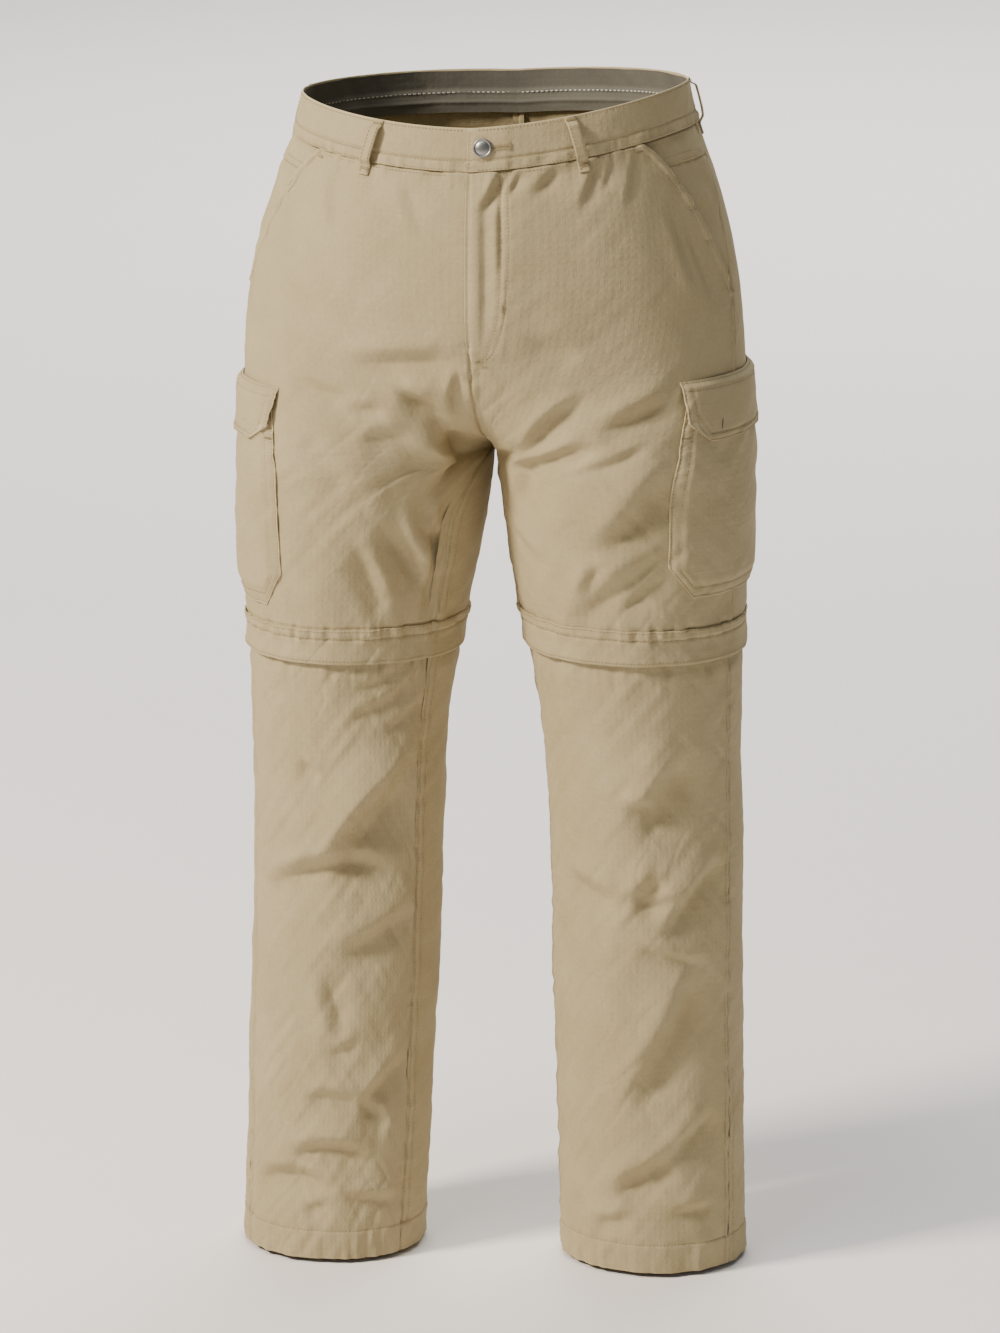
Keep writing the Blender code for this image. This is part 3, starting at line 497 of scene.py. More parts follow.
# %% [markdown]
# ## Sheets of cloth
# One function makes every sheet: a grid of stations round and down the garment, closer
# together beside seams, because that is where the cloth bends most. An edge that is
# turned under gets a few more stations that go round it and a little way back, which
# gives it the thickness and the round edge of folded cloth without a second layer.

# %% Stations, turned edges and the sheet itself
CUT_EDGE = 0.0013         # thickness that a turned edge shows


def stations(start, end, step, seams=(), fine=0.0007):
    """Positions in metres from start to end, closer together near the seams."""
    x = np.linspace(start, end, 6001)
    size = np.full(x.shape, step)
    for seam in seams:
        size = np.minimum(size, fine + 0.28 * np.abs(x - seam))
    count = np.concatenate([[0], np.cumsum((x[1] - x[0]) / size[1:])])
    return np.interp(np.linspace(0, count[-1], int(math.ceil(count[-1])) + 1), count, x)


def turned(positions, first=False, last=False, under=0.005):
    """Adds the stations of edges that are turned under, with how far each lies back."""
    back = np.zeros(len(positions))
    roll = [(0.0, -0.30), (0.0, -0.75), (0.35, -1.0), (under / CUT_EDGE, -1.1)]
    if last:
        end = positions[-1]
        positions = np.concatenate([positions[:-1], [end - CUT_EDGE * 0.4],
                                    [end - CUT_EDGE * a for a, _ in roll]])
        back = np.concatenate([back[:-1], [0], [CUT_EDGE * b for _, b in roll]])
    if first:
        start = positions[0]
        positions = np.concatenate([[start + CUT_EDGE * a for a, _ in roll[::-1]], [start + CUT_EDGE * 0.4],
                                    positions[1:]])
        back = np.concatenate([[CUT_EDGE * b for _, b in roll[::-1]], [0], back[1:]])
    return positions, back


def on_body(name, mesh, mat):
    """An object that rides on the trousers' one body."""
    mesh.materials.append(mat)
    obj = bpy.data.objects.new(name, mesh)
    bpy.context.scene.collection.objects.link(obj)
    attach(obj, "root")
    return obj


def sheet(name, side, q, v, out, mat, ring=False, rubbed=None):
    """A sheet over a grid of stations, columns by rows, as one object."""
    side, q, v, out = np.broadcast_arrays(*(np.asarray(a, float) for a in (side, q, v, out)))
    points = lay(side, q, v, out)
    columns, rows = q.shape
    index = np.arange(columns * rows).reshape(columns, rows)
    after = np.roll(index, -1, 0) if ring else index[1:]
    here = index if ring else index[:-1]
    quads = np.stack([here[:, :-1], after[:, :-1], after[:, 1:], here[:, 1:]], -1).reshape(-1, 4)
    middle = columns // 2
    if side[middle, 0] * (q[middle + 1, 0] - q[middle, 0]) > 0:
        quads = quads[:, ::-1]
    mesh = bpy.data.meshes.new(name)
    mesh.from_pydata(points.reshape(-1, 3).tolist(), [], quads.tolist())
    flat = np.stack([q * TURN + 2 * (side > 0), drop_at(v)], -1).reshape(-1, 2)
    uv = mesh.uv_layers.new(name="cut")
    uv.data.foreach_set("uv", flat[quads.ravel()].astype(np.float32).ravel())
    wear = mesh.attributes.new("rubbed", "FLOAT", "POINT")
    values = np.zeros(q.shape) if rubbed is None else np.broadcast_to(rubbed, q.shape)
    wear.data.foreach_set("value", np.ascontiguousarray(values, dtype=np.float32).ravel())
    mesh.shade_smooth()
    obj = on_body(name, mesh, mat)
    tri = sum(len(p.vertices) - 2 for p in mesh.polygons)
    area = sum(p.area for p in mesh.polygons)
    print(f"{name}: {tri} triangles, {area:.4f} square metres")
    return obj


# %% [markdown]
# ## Seams
# The leg seams are felled: one edge is folded over the other and sewn down with two
# rows of stitches, so there is a fine groove with a raised band beside it. The thread
# pulls the cloth together, and after washing the seam puckers in short ripples across
# the stitching. A groove, a band and ripples are all heights added to the panel.

# %% Groove, band and ripples along a seam
FELL = 0.0075             # width of the raised band
STITCH_IN = 0.0014        # first row of stitches from the seam
FELL_ROWS = (STITCH_IN, FELL - 0.0013)


def ripples(along, away, seed, height=0.0007, length=0.0085, reach=0.010):
    """Short ripples across a row of stitches."""
    wave = bumps(along / length, away / 0.045, seed)
    wave = wave + 0.5 * bumps(along / length * 2.1, away / 0.02, seed + 50)
    return height * wave * np.exp(-(away / reach)**2)


def groove(away, depth=0.0012, width=0.0010):
    return -depth * np.exp(-(away / width)**2)


def band(away, width=FELL, height=0.0009):
    """A raised band on the positive side of a seam."""
    on = smooth(0.0002, 0.0012, away) * (1 - smooth(width, width + 0.0010, away))
    rows = groove(away - STITCH_IN, 0.0006, 0.0010) + groove(away - width + 0.0013, 0.0007, 0.0010)
    return height * on + rows


def seam_relief(side, q, v):
    """Heights that the seams give the big panels."""
    drop = drop_at(v)
    front = q < 0.5
    side_away = (q - 0.5) * TURN
    height = groove(side_away) + band(-side_away) + ripples(drop, side_away, 11 + 2 * front)
    inner_away = np.where(front, q, q - 1) * TURN
    below = v >= CROTCH
    height += groove(inner_away)
    # the band lies on the back leg below the fork, and on the left half above it
    on_left = band(inner_away * np.where(front, 1, -1)) * (side > 0)
    on_left = on_left * np.where(front, smooth(3.35, 3.5, v), 1)
    height += np.where(below, band(-inner_away) * ~front, on_left)
    height += ripples(drop, inner_away, 21, 0.0008) * np.where(front & (v < 3.4), 0.2, 1)
    return height


print("felled band", FELL * 1000, "mm wide")

# %% [markdown]
# ## Stitches
# Topstitching is what makes canvas trousers read as sewn. Every stitch is a small
# raised grain of thread, 2.4 mm long at a pitch of 3.3 mm. They are collected while the
# pieces are made and become one mesh, because thousands of objects would be slow.

# %% Collecting stitches
# the teeth grains also hold the dark bars of painted shade in the flaps' buttonhole slits
GRAINS = {"thread": [], "pale": [], "teeth": []}


def grain_points(centre, along, across, up, length, width, height):
    a, b, c = along * length / 2, across * width / 2, up * height
    return [centre - a, centre - a * 0.6 + b + c, centre - a * 0.6 - b + c, centre + a * 0.6 - b + c,
            centre + a * 0.6 + b + c, centre + a]


def sew(side, q, v, out=0.0, pitch=0.0033, length=0.0024, width=0.0007, height=0.0004, kind="thread"):
    """A row of stitches along a line on the garment."""
    side, q, v = np.broadcast_arrays(*(np.asarray(a, float) for a in (side, q, v)))
    lift = out(side, q, v) if callable(out) else np.full(q.shape, float(out))
    line = lay(side, q, v, lift)
    normal = outward(side, q, v)
    run = np.concatenate([[0], np.cumsum(np.linalg.norm(np.diff(line, axis=0), axis=1))])
    count = max(1, int(run[-1] / pitch))
    places = (np.arange(count) + 0.5) * run[-1] / count
    centre = np.stack([np.interp(places, run, line[:, i]) for i in range(3)], -1)
    near = 0.0005
    ahead = np.stack([np.interp(places + near, run, line[:, i]) - np.interp(places - near, run, line[:, i])
                      for i in range(3)], -1)
    up = np.stack([np.interp(places, run, normal[:, i]) for i in range(3)], -1)
    ahead /= np.linalg.norm(ahead, axis=1, keepdims=True) + 1e-12
    across = np.cross(up, ahead)
    for c, a, s, u in zip(centre, ahead, across, up):
        GRAINS[kind].append(grain_points(c, a, s, u, length, width, height))


def sew_down(side, turn, drop0, drop1, out=0.0, **more):
    """A row down the garment, turn in metres from the centre or inseam."""
    v = row_at(np.linspace(drop0, drop1, 400))
    sew(np.full(400, float(side)), np.full(400, turn / TURN), v, out, **more)


def sew_round(side, q0, q1, v, out=0.0, **more):
    """A row round the garment at one height."""
    q = np.linspace(q0, q1, 400)
    sew(np.full(400, float(side)), q, np.full(400, float(v)) if np.isscalar(v) else v(q), out, **more)


def bartack(side, q, v, out, wide=0.008, down=False, rows=7):
    """A short dense bar of stitches that locks a seam's end."""
    half = 0.0011
    drop = drop_at(np.array([v]))[0]
    for i in range(rows):
        shift = (i - (rows - 1) / 2) * wide / rows
        if down:
            places = [q - half / TURN, q + half / TURN], [row_at(drop + shift)] * 2
        else:
            places = [q + shift / TURN] * 2, row_at(drop + np.array([-half, half]))
        sew([side] * 2, *places, out, pitch=0.01, length=0.0024, width=half, height=0.0007)


# %% [markdown]
# ## Upper panels
# Two fronts and two backs meet at the side seams, the centre seams and the inseams.
# The left front laps over the right at the fly and stands one layer proud of it, and
# both fronts are cut away along a slant for the hip pockets.

# %% Sizes of the cut lines
FLY_WIDTH_Q = 0.062       # the lap stands proud as far as this
FLY_FADE_Q = 0.100        # and fades out here
FLY_END_V = 3.40
FLY_STITCH_Q = 0.0575     # outer row of the J-shaped stitching
FLY_ROWS = (0.0, 0.0115)  # its two rows, inward from the outer one
LAP_Q = 0.006             # how far the left front passes the centre
HIP_TOP_Q = 0.298         # top of the pocket's slant
HIP_END_V = 3.05          # and its lower end, at the side seam
UPPER_END = 0.4935        # drop where the upper panels stop
LOWER_START = 0.502       # and where the lower legs begin
YOKE_DROP = 0.024         # of the seam on the hip facing, below the band
SLANT_ROW = 0.0085        # second row of stitches from the slanted edge
ANKLE_ZIP_V = 10.35       # top of the slit at the ankle
ANKLE_SLIT_Q = 0.003      # half the width of that slit
ZIP_FLAP_DROPS = {1: (0.4728, 0.5052), -1: (0.4822, 0.5143)}   # top and bottom edge of each strip


def flap_edges(side):
    """Drops of the zip strip's top and bottom edge on that leg."""
    return [np.where(side > 0, ZIP_FLAP_DROPS[1][i], ZIP_FLAP_DROPS[-1][i]) for i in (0, 1)]


def zip_pucker(side, q, drop):
    """Ripples that the zip's stitching draws into the strip and the panel above it."""
    top = flap_edges(side)[0]
    fine = ripples(q * TURN, drop - top - 0.0045, 81, 0.0019, 0.0062, 0.0075)
    return fine + ripples(q * TURN, drop - top, 35, 0.0008, 0.013, 0.018)


def hip_edge(v):
    """Where the front panel ends: the pocket's slant, then the side seam."""
    share = np.clip((v - 1) / (HIP_END_V - 1), 0, 1) ** 0.9
    return HIP_TOP_Q + (0.5 - HIP_TOP_Q) * share


def fly_rise(side, q, v):
    fly = (1 - smooth(FLY_WIDTH_Q - 0.004, FLY_WIDTH_Q + 0.004, q)) * (1 - smooth(3.55, 3.80, v))
    wide = (1 - smooth(FLY_WIDTH_Q, FLY_FADE_Q, q)) * (1 - smooth(3.55, 3.80, v))
    return LAYER * (0.45 * fly + 0.55 * wide) * (side > 0) * (q < 0.5)


def fly_stitch_q(v, inset=0.0):
    """The fly's J: straight down, then curving in to the end of the opening."""
    drop = drop_at(v)
    curve = np.clip((drop - 0.165) / 0.055, 0, 1)
    return (FLY_STITCH_Q - inset) - (0.034 - inset * 0.4) * (1 - np.sqrt(np.clip(1 - curve**2, 0, 1)))


def front_heights(side, q, v, edge):
    """Everything that lies on a front panel: seams, waist ripples, slant, fly and zip."""
    drop = drop_at(v)
    out = seam_relief(side, q, v) + fly_rise(side, q, v)
    waist_away = drop - (drop_at(np.full_like(v, 1.0)))
    out = out + ripples(q * TURN, waist_away, 31, 0.0010, 0.009, 0.016) + groove(waist_away, 0.0008, 0.0012)
    slant_away = (edge - q) * TURN
    on_slant = v < HIP_END_V
    out = out + on_slant * (ripples(drop, slant_away - 0.004, 33, 0.0013, 0.0070, 0.007)
                            + groove(slant_away - SLANT_ROW, 0.0010, 0.0013)
                            + groove(slant_away - 0.0014, 0.0005, 0.0009)
                            + 0.0013 * (1 - smooth(SLANT_ROW, SLANT_ROW + 0.002, slant_away)))
    out = out + zip_pucker(side, q, drop) + groove(drop - flap_edges(side)[0] + 0.0010, 0.0010, 0.0012)
    if (side > 0).all():
        on_fly = (drop < 0.222)
        for inset in FLY_ROWS:
            j_away = (q - fly_stitch_q(v, inset)) * TURN
            drawn = groove(j_away, 0.0008, 0.0012) + ripples(drop, j_away, 37, 0.0004, 0.009, 0.005)
            out = out + on_fly * drawn
    return out


# %% Front panels
for word, s in LEGS:
    left = s > 0
    seams = [0, 0.5 * TURN, 0.5 * TURN - FELL] + ([FLY_STITCH_Q * TURN] if left else [])
    turn, turn_back = turned(stations(0.0, 0.5 * TURN, 0.0021, seams), first=left, last=True)
    drops = stations(WAIST - 0.004, UPPER_END, 0.0022, [WAIST, 0.480])
    drop_back = -0.0016 * (1 - smooth(WAIST - 0.0012, WAIST + 0.0016, drops))
    v = row_at(drops)[None, :]
    edge = hip_edge(v)
    q = turn[:, None] / TURN
    # the left edge passes over the centre, and the right one lies below it
    reach = LAP_Q if left else 0.012
    lap = -reach * (1 - smooth(FLY_END_V, FLY_END_V + 0.25, v)) - (0 if left else 0.002) * (v < 5.8)
    q = q * edge / 0.5 + lap * (1 - smooth(0, 0.03, q))
    out = front_heights(np.full(q.shape, float(s)), q, np.broadcast_to(v, q.shape), edge)
    if not left:
        out = out - 0.0012 * (1 - smooth(-0.002, 0.0015, q)) * (v < 5.95)
    out = out + turn_back[:, None] + drop_back[None, :]
    near_slant = np.exp(-((edge - q) * TURN / 0.0012)**2) * (v < HIP_END_V)
    near_lap = np.exp(-(q * TURN / 0.001)**2) * left
    panel = sheet(f"front_{word}_cloth", float(s), q, v, out, CANVAS, rubbed=0.6 * (near_slant + near_lap))
    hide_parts(f"front_{word}")

# %% Stitches of the fronts
def on_panel(side, q, v):
    return seam_relief(side, q, v) + fly_rise(side, q, v)


for s in (-1, 1):
    for row in FELL_ROWS:
        sew_down(s, 0.5 * TURN - row, 0.18, 0.476, on_panel)
        # the slanted pocket edge has two rows
        v = np.linspace(1.05, HIP_END_V, 300)
        sew(np.full(300, float(s)), hip_edge(v) - (0.0012 + (row > 0.003) * 0.0072) / TURN, v, on_panel)
    bartack(s, 0.4985, 3.02, 0.0006, down=False)
    bartack(s, HIP_TOP_Q - 0.008, 1.12, 0.0006)
    # along the waist seam, below the band
    sew_round(s, 0.02, HIP_TOP_Q - 0.01, 1.06, lambda side, q, v: 0.0002 + fly_rise(side, q, v))
for inset in FLY_ROWS:
    v = np.linspace(1.05, float(row_at(0.219)), 400)
    sew(np.ones(400), fly_stitch_q(v, inset), v, fly_rise)
for row in FELL_ROWS:
    v = np.linspace(3.5, 5.95, 300)
    sew(np.ones(300), np.full(300, row / TURN), v, seam_relief)
bartack(1, 0.020, float(row_at(0.2215)), LAYER, wide=0.009)
bartack(1, 0.052, float(row_at(0.170)), LAYER, wide=0.007, down=True)
print("stitches so far:", len(GRAINS["thread"]))

# %% Back panels
for word, s in LEGS:
    seams = [0.5 * TURN, TURN, TURN - FELL]
    turn, turn_back = turned(stations(0.5 * TURN, TURN + 0.005, 0.0032, seams), first=True)
    drops = stations(WAIST - 0.004, UPPER_END, 0.0034, [WAIST, 0.480])
    drop_back = -0.0016 * (1 - smooth(WAIST - 0.0012, WAIST + 0.0016, drops))
    q, v = turn[:, None] / TURN, row_at(drops)[None, :]
    q, v = np.broadcast_arrays(q, v)
    away = drop_at(v) - WAIST
    out = seam_relief(np.full(q.shape, float(s)), q, v) + ripples(q * TURN, away, 41, 0.0010, 0.009, 0.016)
    out = out + zip_pucker(float(s), q, drop_at(v))
    # the seam allowance runs on under the other panel, so no light comes through the seam
    allowance = 0.0012 if s > 0 else 0.0022
    out = out - allowance * smooth(1.0, 1.0 + 0.0015 / TURN, q)
    out = out + turn_back[:, None] + drop_back[None, :]
    panel = sheet(f"back_{word}_cloth", float(s), q, v, out, CANVAS)
    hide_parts(f"back_{word}")
    for row in FELL_ROWS:
        v = np.linspace(6.05, 7.93, 300)
        sew(np.full(300, float(s)), np.full(300, 1 - row / TURN), v, seam_relief)
    sew_round(s, 0.505, 0.995, 1.06, 0.0002)
for row in FELL_ROWS:
    v = np.linspace(1.05, 5.95, 400)
    sew(np.ones(400), np.full(400, 1 - row / TURN), v, seam_relief)

# %% [markdown]
# ## Waistband, its lining and the fly facing
# The waistband is one long strip, folded over at the top and sewn to the panels. A
# second row of stitches runs 28 mm below its top edge, and the strip below that row
# puckers most. Inside it lies a dark lining with a row of pale stitches.

# %% Waistband
BAND_ROW = 0.0277         # second row of stitches, below the top edge
LINING_ROW = 0.021        # the pale row inside


def once_round(first_left, last_right, step):
    """Side and q once round the waist, left front, back, right front."""
    left = stations(first_left * TURN, TURN, step) / TURN
    right = stations(last_right * TURN, TURN, step)[::-1][1:] / TURN
    return (np.concatenate([np.ones(len(left)), -np.ones(len(right))]),
            np.concatenate([left, right]))


band_side, band_q = once_round(-LAP_Q, 0.004, 0.0023)
band_run = np.arange(len(band_q)) * 0.0023
band_turned = np.zeros(len(band_q))
band_turned[:3] = (-0.0013, -0.0009, -0.0003)
drops = stations(0.0, WAIST - GAP, 0.0015, [0.0, BAND_ROW, WAIST])
drops, drop_back = turned(drops, first=True, last=True, under=0.004)
side, q, v = band_side[:, None], band_q[:, None], row_at(drops)[None, :]
side, q, v = np.broadcast_arrays(side, q, v)
run = np.broadcast_to(band_run[:, None], q.shape)
away = drop_at(v) - BAND_ROW
below = smooth(-0.002, 0.004, away)
puckers = ripples(run, away - 0.004, 51, 0.0013, 0.0068, 0.009)
out = fly_rise(side, q, v) + 0.0005 + puckers * (0.35 + 0.65 * below)
out = out + groove(away, 0.0010, 0.0013) + groove(drop_at(v) - 0.0022, 0.0003, 0.0009)
out = out + 0.0006 * bumps(run / 0.045, away / 0.03, 52) * smooth(0.0, 0.008, drop_at(v))
out = out + drop_back[None, :] + band_turned[:, None]
edge_wear = 0.55 * np.exp(-((drop_at(v)) / 0.0016)**2)
band_piece = sheet("waistband_cloth", side, q, v, out, CANVAS, rubbed=edge_wear)
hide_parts("waistband")


def band_rise(side, q, v):
    return fly_rise(side, q, v) + 0.0006


for height in (0.0022, BAND_ROW, WAIST - 0.0022):
    sew(band_side[4:-2], band_q[4:-2], np.full(len(band_q) - 6, float(row_at(height))), band_rise)
v = np.linspace(0.06, 0.94, 60)
sew(np.ones(60), np.full(60, -LAP_Q + 0.0022 / TURN), v, band_rise)

# %% Lining inside the waistband, with its pale row
def lining_out(v):
    return -0.0022 - LAYER * 1.5 * smooth(0.45, 0.85, v)


line_side, line_q = once_round(0.08, 0.012, 0.006)
rows = np.concatenate([[0.03], np.linspace(0.05, 1.04, 34)])
side, q, v = np.broadcast_arrays(line_side[:, None], line_q[:, None], rows[None, :])
run = np.arange(len(line_q))[:, None] * 0.006
drop = drop_at(v)
waves = 0.0012 * bumps((run + drop * 0.8) / 0.016, drop / 0.06, 61)
out = lining_out(v) + waves * (1 - smooth(0.028, 0.036, drop) * 0.6)
out = out + groove(drop - LINING_ROW, 0.0008, 0.0016)
# the folded line below the pale row
out = out - 0.0009 * (smooth(0.0285, 0.0295, drop) - smooth(0.030, 0.033, drop))
lining = sheet("waistband_lining_cloth", side, q, v, out, LINING)
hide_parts("waistband_lining")
sew(line_side, line_q, np.full(len(line_q), float(row_at(LINING_ROW))),
    lambda side, q, v: lining_out(v) - 0.0008,
    pitch=0.0046, length=0.0034, width=0.0011, height=-0.0005, kind="pale")
for row in FELL_ROWS:
    # the centre back seam shows inside, below the lining
    v = np.linspace(1.1, 3.0, 60)
    sew(np.ones(60), np.full(60, 1 - row / TURN), v, -0.0004, height=-0.0006)

# %% Fly facing under the left front, and the hip facings under the slants
q, v = np.broadcast_arrays(np.linspace(0.002, 0.054, 14)[:, None],
                           np.linspace(1.05, FLY_END_V - 0.02, 60)[None, :])
facing = sheet("fly_facing_cloth", 1.0, q, v, -0.0002, CANVAS)
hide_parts("fly_facing")
for word, s in LEGS:
    v = np.linspace(0.93, HIP_END_V - 0.04, 120)[None, :]
    edge = hip_edge(v)
    share = np.linspace(-0.35, 1.0, 40)[:, None]
    q = edge + np.where(share < 0, share * 0.06, share * (0.5 - edge))
    q, v = np.broadcast_arrays(q, v)
    flush = smooth(0.0, 1.0, share) * (1 - 0.4 * smooth(2.5, 2.9, v))
    drop = drop_at(v)
    out = -(LAYER + 0.0022) * (1 - flush) + 0.0002 + ripples(drop, (q - 0.5) * TURN, 63, 0.0004)
    out = out + groove((q - 0.5) * TURN) * (v < 2.9) - 0.0016 * (1 - smooth(0.985, 1.04, v))
    # a yoke seam crosses the facing 24 mm below the band
    seam_away = drop - (WAIST + YOKE_DROP)
    out = out + 0.0006 * (smooth(-0.0085, -0.0075, seam_away) - smooth(-0.0006, 0.0006, seam_away))
    out = out + ripples(q * TURN, seam_away, 65, 0.0006, 0.007, 0.010) + groove(seam_away - 0.0006)
    out = out + 0.0011 * bumps(q * TURN / 0.024, drop / 0.018, 66)
    facing = sheet(f"hip_facing_{word}_cloth", float(s), q, v, out, CANVAS)
    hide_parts(f"hip_facing_{word}")
    for row in (0.0012, 0.0068):
        place = float(row_at(WAIST + YOKE_DROP - row))
        start = float(hip_edge(np.array(place)))
        sew_round(s, start + 0.006, 0.497, place,
                  lambda side, q, v: 0.0004 - 0.0014 * (1 - (q - start) / 0.14))

# %% [markdown]
# ## Lower legs
# Below the zip the legs are plain tubes of a front and a back panel. At the ankle the
# side seam opens into a short zip, and the hem is turned up 28 mm and sewn once, which
# draws the cloth into upright ripples.

# %% Lower fronts and backs
HEM = float(DROPS[-1])
HEM_ROW = HEM - 0.028     # the hem's one row of stitches


def lower_heights(side, q, v):
    drop = drop_at(v)
    out = seam_relief(side, q, v)
    flap_low = flap_edges(side)[1]
    out = out + ripples(q * TURN, drop - flap_low - 0.002, 71, 0.0012, 0.0090, 0.018)
    # the leg tucks in under the strip's free edge
    out = out - 0.0024 * (1 - smooth(flap_low + 0.0005, flap_low + 0.016, drop))
    hem_away = drop - HEM_ROW
    out = out + groove(hem_away, 0.0006, 0.0012)
    upright = bumps(q * TURN / 0.0085, drop / 0.05, 73) + 0.5 * bumps(q * TURN / 0.019, drop / 0.05, 74)
    out = out + 0.0009 * upright * smooth(HEM_ROW - 0.010, HEM_ROW + 0.002, drop)
    return out + 0.0006 * smooth(HEM_ROW - 0.001, HEM_ROW + 0.001, drop)


for word, s in LEGS:
    for face, start, end, step in (("front", 0.0, 0.5, 0.0021), ("back", 0.5, 1.0, 0.0034)):
        seams = [start * TURN, end * TURN, end * TURN - FELL]
        turn, turn_back = turned(stations(start * TURN, end * TURN, step, seams), first=face == "back",
                                 last=face == "front")
        drops = stations(LOWER_START, HEM - 0.001, step * 1.05, [HEM_ROW, HEM], 0.0009)
        drops, drop_back = turned(drops, last=True, under=0.027)
        q, v = np.broadcast_arrays(turn[:, None] / TURN, row_at(drops)[None, :])
        # the side seam opens a little at the ankle zip
        open_by = ANKLE_SLIT_Q * smooth(ANKLE_ZIP_V - 0.02, ANKLE_ZIP_V + 0.06, v)
        q = q + np.where(q < 0.5, -1, 1) * open_by * np.exp(-((q - 0.5) * TURN / 0.012)**2)
        out = lower_heights(np.full(q.shape, float(s)), q, v) + turn_back[:, None] + drop_back[None, :]
        hem_wear = 0.5 * np.exp(-((drop_at(v) - HEM) / 0.0018)**2)
        panel = sheet(f"lower_{face}_{word}_cloth", float(s), q, v, out, CANVAS, rubbed=hem_wear)
        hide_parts(f"lower_{face}_{word}")
    for row in FELL_ROWS:
        sew_down(s, 0.5 * TURN - row, 0.516, 0.905, seam_relief)
        sew_down(s, TURN - row, 0.516, HEM_ROW, seam_relief)
    sew_down(s, (0.5 - ANKLE_SLIT_Q) * TURN - 0.0055, 0.905, HEM - 0.002, lower_heights)
    sew_down(s, (0.5 + ANKLE_SLIT_Q) * TURN + 0.0055, 0.905, HEM - 0.002, lower_heights)
    sew_round(s, 0.002, 0.488, float(row_at(HEM_ROW)), lower_heights)
    sew_round(s, 0.512, 0.998, float(row_at(HEM_ROW)), lower_heights)
print("stitches so far:", len(GRAINS["thread"]))

# %% Ankle zips: tape behind the slit, teeth along its middle
for word, s in LEGS:
    q, v = np.broadcast_arrays(np.linspace(0.487, 0.513, 11)[:, None],
                               np.linspace(ANKLE_ZIP_V - 0.05, 10.99, 60)[None, :])
    tape = sheet(f"ankle_zip_{word}_tape", float(s), q, v, -0.0016, TAPE)
    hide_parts(f"ankle_zip_{word}")
    sew_down(s, 0.5 * TURN, 0.915, HEM - 0.004, -0.0013, pitch=0.0021, length=0.0034, width=0.0012,
             height=0.0009, kind="teeth")

# %% [markdown]
# ## The zip-off line
# A strip covers the zip that joins the lower leg. It is sewn down along its top and
# free along its bottom edge, where it throws a fine dark shadow over the puckered top
# of the lower leg.

# %% Zip flaps and the zips beneath them
def zip_flap_out(side, q, v):
    drop = drop_at(v)
    top, low = flap_edges(side)
    open_edge = smooth(top + 0.012, low, drop)
    # it passes over the felled side seam and inseam
    seam_away = np.minimum(np.abs(q - 0.5), np.minimum(q % 1.0, 1 - q % 1.0)) * TURN
    out = 0.0013 + 0.0020 * open_edge + 0.0006 * np.exp(-(seam_away / 0.012)**2) + zip_pucker(side, q, drop)
    out = out + groove(drop - top - 0.0090, 0.0010, 0.0013)
    return out + 0.0004 * bumps(q * TURN / 0.03, drop / 0.03, 82)


for word, s in LEGS:
    ring_q = np.linspace(0, 1, 261)[:-1]
    top, low = ZIP_FLAP_DROPS[s]
    drops, drop_back = turned(stations(top, low, 0.0018, [top + 0.0090]), first=True, last=True, under=0.006)
    q, v = np.broadcast_arrays(ring_q[:, None], row_at(drops)[None, :])
    out = zip_flap_out(np.full(q.shape, float(s)), q, v) + drop_back[None, :]
    flap = sheet(f"zip_flap_{word}_cloth", float(s), q, v, out, CANVAS, ring=True)
    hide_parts(f"zip_flap_{word}")
    for drop in (top + 0.0015, top + 0.0090, low - 0.003):
        sew_round(s, 0, 1, float(row_at(drop)), zip_flap_out)
    rows = np.linspace(8.0, 8.26, 10)
    q, v = np.broadcast_arrays(np.linspace(0, 1, 121)[:-1][:, None], rows[None, :])
    # behind the top of the lower leg, which tucks in
    out = -0.0026 - 0.0030 * smooth(8.12, 8.17, v)
    tape = sheet(f"thigh_zip_{word}_tape", float(s), q, v, out, TAPE, ring=True)
    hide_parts(f"thigh_zip_{word}")
    sew_round(s, 0, 1, 8.13, -0.0023, pitch=0.0022, length=0.0014, width=0.0045, height=0.0011, kind="teeth")

# %% [markdown]
# ## Cargo pockets
# Each pocket is a patch with folded edges and cut corners, sewn down with two rows at
# three sides. A flap with the same cut corners hangs over its mouth. Both lie on the
# leg over the side seam, so their points are the leg's own points, moved outward.

# %% Pocket bags and flaps
POCKET_RISE = 0.0050
POCKET_FRONT_Q = 0.385    # front edge of the bag at its mouth
POCKET_SPREAD_Q = 0.0185  # how much further forward that edge is at the bottom
POCKET_ROWS_DOWN = {1: -0.05, -1: 0.20}   # each leg's pocket has its own height
EDGE_ROW = 0.0018         # stitches along a patch's edge
BAG_ROW = 0.0092          # second row on the bag
FLAP_ROW = 0.0085         # and on the flap


def bag_front(v):
    return POCKET_FRONT_Q - POCKET_SPREAD_Q * smooth(5.2, 7.4, v)


def flap_front(v):
    return 0.364 + 0.040 * (v - 4.10) / 0.95


# front and back edge by row, top and bottom row, and the cut corners' width and height
Patch = namedtuple("Patch", "front back top bottom wide high")
BAG = Patch(bag_front, 0.630, 4.45, 7.62, 0.040, 0.38)
FLAP = Patch(flap_front, 0.640, 4.10, 5.05, 0.030, 0.33)


def lower_edge(q, shape):
    """The row of the lower edge, which rises at the cut corners."""
    near = np.minimum(q - shape.front(shape.bottom), shape.back - q)
    return shape.bottom - shape.high * np.clip(1 - near / shape.wide, 0, 1)


def patch_away(q, v, shape):
    """Distance in metres from a patch's nearest edge but the top one."""
    sides = np.minimum(q - shape.front(v), shape.back - q) * TURN
    return np.minimum(sides, (lower_edge(q, shape) - v) * 0.075 * 0.85)


